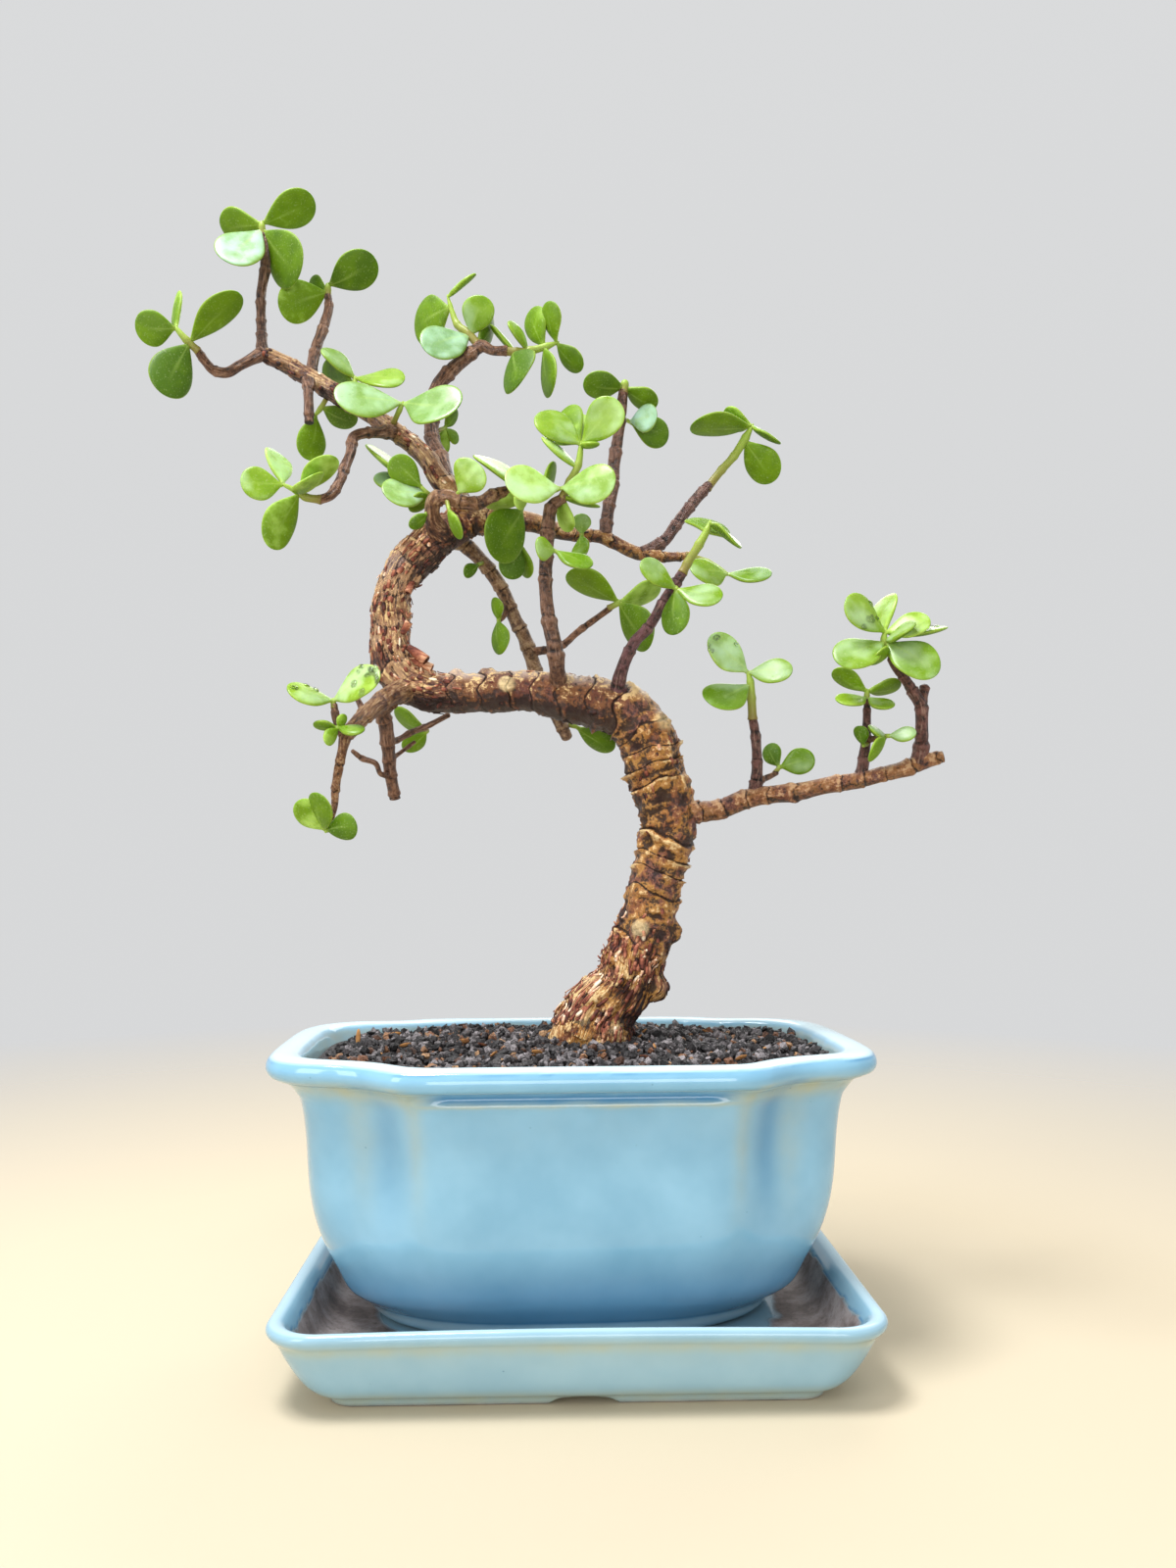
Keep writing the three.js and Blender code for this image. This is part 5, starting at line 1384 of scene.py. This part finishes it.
# Woven plastic drain screens: moulded black polyethylene with a faint satin sheen.
screenPlastic, tree = newMaterial("screenPlastic", Roughness=0.5, IOR=1.5)
mottle = clouds(tree, objectPlace(tree), 800, 3)
satin = ranged(tree, mottle, 0.3, 0.7, 0.42, 0.6)
plug(tree, Base_Color=mixed(tree, mottle, "#141414", "#232323"), Roughness=satin)
for name in ("drain_screen_left", "drain_screen_right"):
    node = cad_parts[name]
    node.data.materials.clear()
    node.data.materials.append(screenPlastic)
print("soil made")

# The green growth. A sprig is a shoot, as [x, y, height, radius], and its leaves, each as [shoot point
# it grows from, x, y, height of its tip, width, roll]: roll turns the upper face from facing the
# front (0) through facing up (90) to facing the back (180).
sprigPlan = {
    "seed": 19,
    "thickness": 2.1,
    "rooting": 0.9,  # how far inside its shoot a leaf starts
    "rows": 26,
    "columns": 22,
    "levelSlope": 0.05,  # a leaf whose faces tilt less than this has the right one as its upper
    "stalkWidth": 0.8,
    "widest": 0.6,  # share of the length at which a leaf is widest
    "wet": {"near_top": {0: 13, 1: 3}, "long_end": {0: 5, 3: 5}, "long_left": {0: 4}},  # drops on a leaf
    "dropRadius": (0.6, 1.35),
    # leaves with a strong painted sky reflection, and how strong
    "waxed": {
        "crown_top": {2: 0.9}, "spike_back": {0: 1.0}, "limb_front": {0: 0.35, 1: 0.3},
        "fork_left": {3: 0.6}, "mid_gloss": {0: 0.2, 1: 0.2}, "cluster": {1: 0.4, 2: 0.4},
        "low_left": {0: 0.4}, "long_left": {0: 0.4},
    },
    # how much lighter than the rest a sprig's leaves are
    "paler": {"mid_pale": 0.45, "low_left": 0.5, "near_top": 0.45, "mid_gloss": 0.3, "long_end": 0.3},
    "sprigs": {
        "crown_top": ([[-98.5, 5, 348, 1], [-99, 5, 351, 1], [-99, 5, 353, 0.8]], [
            [2, -82.5, 7, 360.5, 13, 120], [2, -114, 12, 354, 11.5, 125], [1, -107.5, -6, 334.5, 15, 0],
            [1, -86, 0, 332.5, 17, 140],
        ]),
        "crown_back": ([[-80, 15, 333.5, 1.1], [-80, 15, 336, 1], [-80, 15, 338, 0.8]], [
            [2, -63.5, 10, 343.5, 13, 130], [1, -87, 18, 337.5, 9, 150], [1, -94.5, 9, 326.5, 13, 140],
        ]),
        "crown_left": ([[-115.5, -7, 306, 1.2], [-118.5, -9, 308.5, 1.1], [-122, -10, 312.5, 0.8]], [
            [2, -133, -13, 311, 10.5, 150], [2, -124.5, 0, 326, 10, 128], [1, -101, -12, 321.5, 12, 108],
            [1, -123.5, -17, 289, 13.5, 140],
        ]),
        "low_left": ([
            [-75, -18, 256.5, 1.3], [-79.5, -19, 257, 1.1],
            [-82, -20, 258.5, 0.9], [-86.5, -21, 260.5, 0.6],
        ], [
            [3, -90, -15, 272.5, 10, 55], [3, -97, -26, 259, 11, 8], [2, -69, -27, 266.5, 10, 112],
            [2, -74, -32, 259.5, 10.5, 75], [2, -89, -24, 240.5, 11, 130],
        ]),
        "limb_under": ([[-78.5, 8, 298, 0.8], [-81.5, 10, 294.5, 0.8], [-83.5, 10, 292, 0.6]], [
            [2, -85.5, 8, 277.5, 10.5, 135], [1, -71, 17, 292.5, 9, 125],
        ]),
        "limb_over": ([[-70.5, 8, 297, 1], [-70, 9, 302.5, 0.9], [-70, 9, 305, 0.8]], [
            [2, -80, 6, 312.5, 9, 45], [2, -53.5, 5, 301.5, 12.5, 45], [1, -83, 21, 309.5, 14, 135],
        ]),
        "limb_front": ([[-56.5, 3, 287.5, 0.9], [-54, -1, 290, 0.8], [-52.5, -2, 292.5, 0.7]], [
            [2, -72.5, -11, 290.5, 16, 30], [2, -34, -12, 287, 17, 20],
        ]),
        "fork_left": ([
            [-30.5, 17, 318, 1.4], [-34, 18, 322.5, 1.4], [-38, 20, 326.5, 1.2],
            [-40.5, 21, 333.5, 0.8], [-41.5, 21, 337, 0.7],
        ], [
            [4, -31.5, 18, 342.5, 7, 65], [3, -54, 33, 330.5, 17, 180], [1, -28, 13, 332.5, 11, 0],
            [1, -47.5, 8, 313, 15, 15], [0, -26.5, 26, 331, 11.5, 110],
        ]),
        "fork_right": ([
            [-22.5, 17, 316.5, 1.4], [-18, 17, 316, 1.4], [-13.5, 17, 316.5, 1.3],
            [-8, 17, 318, 1.1], [-4, 17, 319.5, 0.8],
        ], [
            [2, -20.5, 14, 325, 8, 60], [3, -14, 21, 331.5, 11, 130], [4, -7.5, 13, 331, 9, 125],
            [4, 3.5, 18, 310.5, 8.5, 125], [3, -6.5, 13, 300.5, 13, 115], [1, -16.5, 6, 301, 16, 140],
            [1, -26.5, 22, 326, 10, 75],
        ]),
        "spike_top": ([[17, 12, 300.5, 1.4], [17.5, 12, 303.5, 1.2], [17.5, 12, 305, 1]], [
            [1, 4, 8, 302.5, 10, 125], [1, 28, 16, 297.5, 9.5, 115],
        ]),
        "spike_back": ([[16.5, 12, 292.5, 0.7], [18.5, 16, 293, 0.6], [20, 17, 292.5, 0.6]], [
            [2, 28, 11, 293, 9.5, 0], [2, 32.5, 23, 290, 10.5, 180],
        ]),
        "mid_pale": ([
            [-2.5, -15, 257.5, 1.4], [0, -15, 263, 1.2], [2.5, -15, 268, 1.1], [3.5, -15, 275, 1],
        ], [
            [3, 15, -21, 284.8, 12.5, 15], [3, -10, -15, 283.5, 13, 30], [2, -8.5, -18, 275.5, 10, 65],
            [3, -3, -4, 288, 13, 150], [3, 4.5, -2, 288, 12, 155], [3, 8, -21, 272.5, 5.5, 65],
            [0, 9, -18, 254.5, 9, 75], [0, -1.5, -7, 250, 8, 130],
        ]),
        "mid_gloss": ([[-14, -11, 261, 1.2], [-7.5, -14, 260, 1], [-2, -17, 260.5, 0.8]], [
            [2, -19, -25, 259.5, 14, 20], [2, 13.5, -27, 258.5, 13.5, 15], [0, -29.5, -12, 272, 14, 60],
            [1, -4.5, -7, 270, 9.5, 105], [0, -16.5, -15, 255.5, 5.5, 130],
            [0, -26.5, -4, 258.5, 10.5, 105],
        ]),
        "mid_left": ([[-34, -12, 258.5, 0.8], [-34, -15, 260, 0.7]], [
            [1, -27.5, -18, 267.5, 12.5, 10],
        ]),
        "mid_drop": ([[-37.5, -14, 257.5, 0.7], [-36.5, -17, 253.5, 0.5]], [
            [1, -32.5, -18, 245, 6.5, 115],
        ]),
        "right_high": ([
            [44.5, 14, 270, 1.4], [49.5, 15, 276.5, 1.3], [53.5, 15, 281, 1.3],
            [57.5, 16, 287.5, 1.4], [60, 16, 292, 0.9],
        ], [
            [4, 39, 13, 290, 14.5, 102], [4, 50.5, 20, 296, 11, 105], [4, 68, 11, 284, 8.5, 65],
            [3, 67.5, 21, 274.5, 12, 145],
        ]),
        "right_tip": ([
            [34, -17, 234.5, 1.4], [35.5, -17, 237.5, 1.3], [39, -18, 243, 1.3],
            [41.5, -18, 247.5, 1.1], [42.5, -18, 250.5, 0.7],
        ], [
            [3, 44, -5, 254, 15, 180], [4, 50, -25, 240.5, 10.5, 75],
        ]),
        "right_node": ([[32, -16, 230.5, 0.9], [32, -20, 229, 0.8]], [
            [1, 21, -24, 236, 9.5, 35], [1, 45, -25, 225, 10.5, 35], [1, 31.5, -22, 215, 10, 145],
        ]),
        "right_low": ([[37, 8, 246.5, 1.2], [44, 7, 244, 1], [51, 6, 239.5, 0.8]], [
            [2, 38, -3, 238.5, 11.5, 25], [2, 64, 2, 239, 10, 50],
        ]),
        "heart_right": ([[12, 4, 228.5, 1], [15, 3, 230, 0.9], [16, 3, 231, 0.8]], [
            [2, -1, -2, 238.5, 14, 115], [2, 29, 9, 235.5, 10.5, 125], [2, 25, -3, 215, 14, 135],
        ]),
        "heart_front": ([[-16.5, 3, 257.5, 0.8], [-15, -3, 259, 0.7]], [
            [1, -24.5, -7, 242.5, 17, 140],
        ]),
        "heart_low": ([[-17, 6, 254.5, 0.9], [-18, 6, 251, 0.7]], [
            [1, -19.5, 7, 238.5, 9, 155], [1, -15, 15, 241, 10, 120],
        ]),
        "stem_node": ([[-6.5, -15, 242, 0.8], [-4, -20, 240.5, 0.6]], [
            [1, -10, -24, 240.5, 7.5, 0], [1, 6.5, -23, 235, 8.5, 45],
        ]),
        "limb_bud": ([[3.5, 7, 252, 0.8], [3.5, 3, 252, 0.7]], [
            [1, 3.5, 1, 258, 6, 0], [1, 3, -1, 243, 7, 40],
        ]),
        "back_twig": ([[-22.5, 12, 227.5, 0.7], [-24, 10, 225.5, 0.6]], [
            [1, -24.5, 8, 233, 5.5, 135], [1, -22, 6, 214.5, 8.5, 140],
        ]),
        "back_leaf": ([[-28.5, 11, 245, 0.7], [-30, 6, 243, 0.6]], [
            [1, -34, 3, 239, 4.5, 140],
        ]),
        "cluster": ([[-43, -1, 262.5, 0.9], [-45, -4, 263, 0.7], [-47, -5, 265, 0.7]], [
            [2, -55.5, -9, 272, 9, 180], [1, -61.5, 2, 271, 14, 55], [1, -57, -13, 260, 12, 20],
            [2, -64, 5, 281, 15.5, 75], [0, -50.5, -6, 258, 7, 120],
        ]),
        "cluster_low": ([[-42, -10, 255.5, 0.6], [-44.5, -12, 254, 0.5]], [
            [1, -49, -14, 249.5, 4.5, 135],
        ]),
        "behind_fork": ([[-44, 13, 288.5, 0.8], [-41.5, 18, 291.5, 0.6]], [
            [1, -44.5, 21, 283, 7, 135], [1, -38, 22, 288, 4.5, 30], [1, -38, 20, 298, 5.5, 120],
        ]),
        "long_left": ([
            [56.5, -8, 191.5, 1.4], [56, -9, 198, 1.3],
            [55.5, -10, 203, 1.1], [54.5, -10, 206.5, 0.8],
        ], [
            [3, 42.5, -14, 216, 11.5, 20], [3, 67.5, -16, 205, 10, 30], [2, 41.5, -18, 195.5, 13, 35],
        ]),
        "long_twig": ([[64.5, -1, 175.5, 0.8], [66.5, 0, 178, 0.7]], [
            [1, 63, 4, 185, 6.5, 150], [1, 76.5, -4, 180, 8.5, 0],
        ]),
        "long_mid": ([[91, -12, 196, 0.9], [91, -12, 198.5, 0.8], [91, -12, 200.5, 0.7]], [
            [2, 80.5, -12, 206, 8.5, 115], [2, 102, -9, 201.5, 8.5, 115], [1, 81, -18, 195.5, 8.5, 55],
            [1, 97.5, -18, 194, 7, 45],
        ]),
        "long_side": ([[95, -15, 185.5, 0.8], [97, -17, 185.5, 0.6]], [
            [1, 104, -20, 186, 5.5, 30], [0, 90, -20, 187.5, 5.5, 55], [0, 89.5, -21, 178.5, 8, 120],
        ]),
        "long_bud": ([[91, -12, 183.5, 0.7], [89, -15, 182.5, 0.5]], [
            [1, 87.5, -17, 188.5, 5, 135],
        ]),
        "long_end": ([
            [98, -16, 208.5, 1.2], [96.5, -16.5, 212, 1.1],
            [95, -17, 214.5, 1], [95.5, -17, 217.5, 0.8],
        ], [
            [3, 82, -23, 225, 12, 30], [3, 97.5, -7, 229.5, 11.5, 65], [3, 108, -21, 219.5, 10, 35],
            [3, 115, -9, 220, 15.5, 70], [2, 102, -26, 217, 8.5, 65], [2, 79.5, -23, 206.5, 13.5, 40],
            [1, 90, -22.5, 207.5, 7, 115], [2, 108, -26, 202, 13.5, 15],
        ]),
        "near_top": ([[-68.5, -30, 192, 0.9], [-69, -30, 195, 0.7]], [
            [1, -54, -36, 201, 12.5, 35], [1, -80, -39, 196, 10.5, 55],
        ]),
        "near_node": ([[-67.5, -29, 186, 0.7], [-67, -33, 186, 0.6]], [
            [1, -73.5, -35, 187, 5, 115], [1, -59, -36, 184.5, 6.5, 60], [1, -69.5, -37, 181, 4.5, 130],
            [1, -65, -31, 190, 3.5, 125],
        ]),
        "near_low": ([[-69, -32, 159.5, 0.7], [-70.5, -33, 155.5, 0.6]], [
            [1, -78, -36, 164.5, 9, 150], [1, -70.5, -41, 166.5, 10, 135], [1, -60.5, -37, 157.5, 8, 180],
        ]),
        "back_low": ([[-47.5, 13, 191.5, 0.8], [-47.5, 17, 190.5, 0.7]], [
            [1, -59, 20, 197.5, 10, 120], [1, -55.5, 21, 184.5, 7.5, 140],
        ]),
        "arch_back": ([[-3, 13, 193, 0.9], [2.5, 13, 191.5, 0.7]], [
            [1, 14, 16, 184.5, 10, 135],
        ]),
    },
}


def leafShell(base, tip, width, roll, plan, draw, paler, waxed):
    # a thick lens from base to tip: the half width is W/2 sin(pi/2 v/m)^1.15 up to the widest place m
    # and W/2 (1 - ((v - m) / (1 - m))^2.2)^0.5 past it, the half thickness T/2 sin(pi v^0.9)^0.4, each
    # cross-section a rounded oval; the whole arches along its length, cups across it and twists a little,
    # with a faint crease down the middle of its upper face
    length = np.linalg.norm(tip - base)
    along = (tip - base) / length
    facing = unit(np.array([0, -1, 0]) + along * along[1])
    upward = np.cross(facing, along)
    isLevel = abs(upward[2]) <= plan["levelSlope"]
    if (upward[0] if isLevel else upward[2]) < 0:
        upward = -upward
    angle = math.radians(roll)
    normal = facing * math.cos(angle) + upward * math.sin(angle)
    across = np.cross(normal, along)
    v = (1 - np.cos(np.linspace(0, math.pi, plan["rows"] + 2)[1:-1, None])) / 2
    widest = plan["widest"] + draw.uniform(-0.04, 0.04)
    narrowing = np.clip((v - widest) / (1 - widest), 0, 1)
    swell = np.sin(math.pi / 2 * np.minimum(v / widest, 1)) ** 1.15 * np.sqrt(1 - narrowing ** 2.2)
    stalk = plan["stalkWidth"] * smoothStep(0.25, 0.0, v) * smoothStep(0, 0.02, v)
    halfWidth = np.maximum(swell * width / 2, stalk)
    halfThick = plan["thickness"] / 2 * np.sin(math.pi * v ** 0.9) ** 0.4
    halfThick = np.minimum(halfThick, 0.25 + 0.6 * halfWidth)
    theta = np.linspace(0, fullTurn, plan["columns"], endpoint=False)[None]
    wide = np.sign(np.cos(theta)) * np.abs(np.cos(theta)) ** 0.85 * halfWidth
    thick = np.sign(np.sin(theta)) * np.abs(np.sin(theta)) ** 0.85 * halfThick
    arch = draw.uniform(-0.03, 0.06) * length
    cup = draw.uniform(0.0, 0.09) * width
    sway = draw.uniform(-0.03, 0.03) * length
    twist = draw.uniform(-0.25, 0.25) * (v - 0.3)
    crease = 0.14 * bell(wide / (halfWidth + 0.1), 0, 0.14) * smoothStep(0.75, 0.2, v) * (thick > 0)
    lift = thick - crease + cup * (wide / (width / 2)) ** 2 * swell
    wide, lift = wide * np.cos(twist) - lift * np.sin(twist), wide * np.sin(twist) + lift * np.cos(twist)
    lift = lift - arch * 4 * v * (1 - v)
    side = wide + sway * np.sin(math.pi * v) ** 2
    rings = base + (v * length)[..., None] * along + side[..., None] * across + lift[..., None] * normal
    tone = np.clip(0.5 + 0.28 * draw.standard_normal(), 0, 1) + paler
    return shell(
        turned(rings, treeTurn), upper=np.sin(theta), across=np.cos(theta), along=v, tone=tone, green=1,
        waxed=waxed,
    )


def shootShell(route, draw):
    # a circle carried along the shoot, with a slight swelling at each of its points
    path = smoothPath(route, 0.45)
    centre, radius = path[:, None, :3], path[:, 3, None]
    tangent = unit(np.gradient(path[:, :3], axis=0))
    back = np.array([0.05, 1, 0])
    first = unit(back - tangent * (tangent @ back)[:, None])
    second = np.cross(tangent, first)
    theta = np.linspace(0, fullTurn, 14, endpoint=False)[None]
    share = np.linspace(0, 1, len(path))[:, None]
    joints = np.array(route)[:, None, :3]
    swelling = bell(np.linalg.norm(path[None, :, :3] - joints, axis=-1), 0, 0.9).sum(0)[:, None]
    swollen = radius * (1 + 0.16 * swelling) * np.sqrt(np.clip(1.02 - share ** 8, 0.02, 1))
    rings = centre + swollen[..., None] * around(theta, first[:, None], second[:, None])
    return shell(
        turned(rings, treeTurn), upper=0, across=0, along=share, tone=draw.uniform(0.3, 0.7), green=0,
        waxed=0,
    )


def sprigShells(shoot, leaves, plan, draw, paler, waxed):
    # the shoot first and then its leaves
    points = np.array(shoot)[:, :3]
    parts = [shootShell(shoot, draw)]
    for number, (grownFrom, x, y, z, width, roll) in enumerate(leaves):
        inward = points[grownFrom - 1 if grownFrom else 1] - points[grownFrom]
        base = points[grownFrom] + inward * plan["rooting"] / np.linalg.norm(inward)
        tip = np.array([x, y, z])
        parts.append(leafShell(base, tip, width, roll, plan, draw, paler, waxed.get(number, 0)))
    return parts


def dropShells(leaf, count, plan, draw):
    # drops on a leaf's upper face: each a slightly oval ellipsoid, r sin p round and h cos p high for p
    # from 0 to pi, with its middle on the leaf's surface
    grid = leaf["points"][:plan["rows"] * plan["columns"]].reshape(plan["rows"], plan["columns"], 3)
    row = draw.uniform(0.3, 0.86, count) * plan["rows"]
    column = draw.uniform(0.06, 0.44, count) * plan["columns"]
    middle = sampled(grid, row, column)
    forward = unit(sampled(grid, row + 1, column) - middle)
    side = unit(sampled(grid, row, column + 1) - middle)
    upward = unit(np.cross(side, forward))
    spun = np.linspace(0, fullTurn, 14, endpoint=False)[None, None]
    polar = np.linspace(0.2, math.pi - 0.2, 8)[None, :, None]
    wide = draw.uniform(*plan["dropRadius"], count)[:, None, None]
    wide = wide * (1 + 0.12 * np.cos(2 * spun + draw.uniform(0, 6, count)[:, None, None])) * np.sin(polar)
    high = 0.5 * draw.uniform(*plan["dropRadius"], count)[:, None, None] * np.cos(polar)
    middle, forward, side, upward = (each[:, None, None] for each in (middle, forward, side, upward))
    return shells(middle + wide[..., None] * around(spun, forward, side) + high[..., None] * upward)


# Succulent leaf skin: thick, waxy and smooth, painted lighter on the upper face as painted light and darker
# on the under face as painted shade, with a painted sky reflection on some upper faces, and light passing
# through its flesh; the shoot is green at its tip and browns towards the wood.
leafLook = {
    # the upper face is painted lighter, as painted light, and the under face darker, as painted shade
    "upper": ("#5C8010", "#86A62A"),
    "under": ("#456600", "#6C9000"),
    "young": "#B4D66A",
    "paintedSheenPatch": "#B8D2B4",  # painted sky reflection in pale patches on the upper face
    "wax": "#A6CCC0",  # and as a coat over the upper face of some leaves
    "rim": "#A9BD4A",
    "vein": "#A6C060",
    "foot": "#A9BE55",  # where the leaf leaves its shoot
    "dot": "#D6E5A8",
    "stem": ("#80703A", "#93AB45"),
    "glow": 0.0018,  # metres that light spreads in the flesh
    "roughness": (0.22, 0.36),
}


def leafMaterial(name, look):
    # from the under face's colour, painted darker as painted shade, up: the upper face's colour, painted
    # lighter as painted light, young, painted sky reflection in patches and as a coat, rim, vein, foot and
    # dots; or the shoot's colour
    material, tree = newMaterial(
        name, IOR=1.47, Subsurface_Weight=0.2, Subsurface_Scale=look["glow"], Specular_IOR_Level=0.3,
        Subsurface_Radius=(0.6, 1.0, 0.15),
    )
    place = objectPlace(tree)
    upper, along = fact(tree, "upper"), fact(tree, "along")
    cloud, patches, dots = (clouds(tree, place, *each) for each in ((190, 3), (95, 2), (1900, 2)))
    tone = summed(tree, fact(tree, "tone"), ranged(tree, cloud, 0.3, 0.7, -0.3, 0.3))
    rim = maths(tree, "ABSOLUTE", fact(tree, "across"))
    # painted sky reflection: pale patches, and a coat on some leaves' upper faces
    paintedSheenPatch = product(tree, ranged(tree, patches, 0.45, 0.62, 0, 0.38), ranged(tree, upper, 0.2, 0.8))
    wax = product(tree, ranged(tree, cloud, 0.3, 0.65, 0.25, 0.8), ranged(tree, upper, 0.1, 0.7))
    vein = product(tree, ranged(tree, rim, 0.0, 0.09, 0.3, 0), ranged(tree, along, 0.8, 0.4))
    # the under face's colour, painted darker as painted shade, under the upper face's, painted lighter as
    # painted light
    leaf = layered(tree, mixed(tree, tone, *look["under"]), [
        (ranged(tree, upper, -0.12, 0.3), mixed(tree, tone, *look["upper"])),
        (ranged(tree, tone, 0.85, 1.5), look["young"]),
        (paintedSheenPatch, look["paintedSheenPatch"]),
        (product(tree, wax, fact(tree, "waxed")), look["wax"]),
        (ranged(tree, rim, 0.93, 1, 0, 0.4), look["rim"]),
        (vein, look["vein"]),
        (ranged(tree, along, 0.16, 0.0, 0, 0.5), look["foot"]),
        (ranged(tree, dots, 0.58, 0.72, 0, 0.16), look["dot"]),
    ])
    stem = mixed(tree, ranged(tree, along, 0.0, 0.75), *look["stem"])
    duller = ranged(tree, upper, 0.3, -0.3, 0, 0.25)
    plug(
        tree, Base_Color=mixed(tree, fact(tree, "green"), stem, leaf),
        Roughness=summed(tree, ranged(tree, cloud, 0.3, 0.7, *look["roughness"]), duller),
        Normal=bumped(tree, summed(tree, cloud, product(tree, dots, 0.15)), 0.25, 0.0004),
    )
    return material


leafSkin = leafMaterial("waxyLeafSkin", leafLook)
draw = np.random.default_rng(sprigPlan["seed"])
drops = []
for name, (shoot, leaves) in sprigPlan["sprigs"].items():
    title = "sprig" + "".join(word.capitalize() for word in name.split("_"))
    paler, waxed = sprigPlan["paler"].get(name, 0), sprigPlan["waxed"].get(name, {})
    parts = sprigShells(shoot, leaves, sprigPlan, draw, paler, waxed)
    addPiece(title, joined(parts), leafSkin, ["sprig_" + name])
    wet = sprigPlan["wet"].get(name, {})
    drops += [dropShells(parts[leaf + 1], count, sprigPlan, draw) for leaf, count in wet.items()]

# Water: clear and smooth, so that it shows the leaf through a bright rim.
water, tree = newMaterial("waterDrop", Roughness=0.02, IOR=1.33, Transmission_Weight=1.0)
addPiece("waterDrops", joined(drops), water)
print("leaves made")

size = {"cad": [list(corner) for corner in cadBox], "visual": [list(corner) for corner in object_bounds()]}
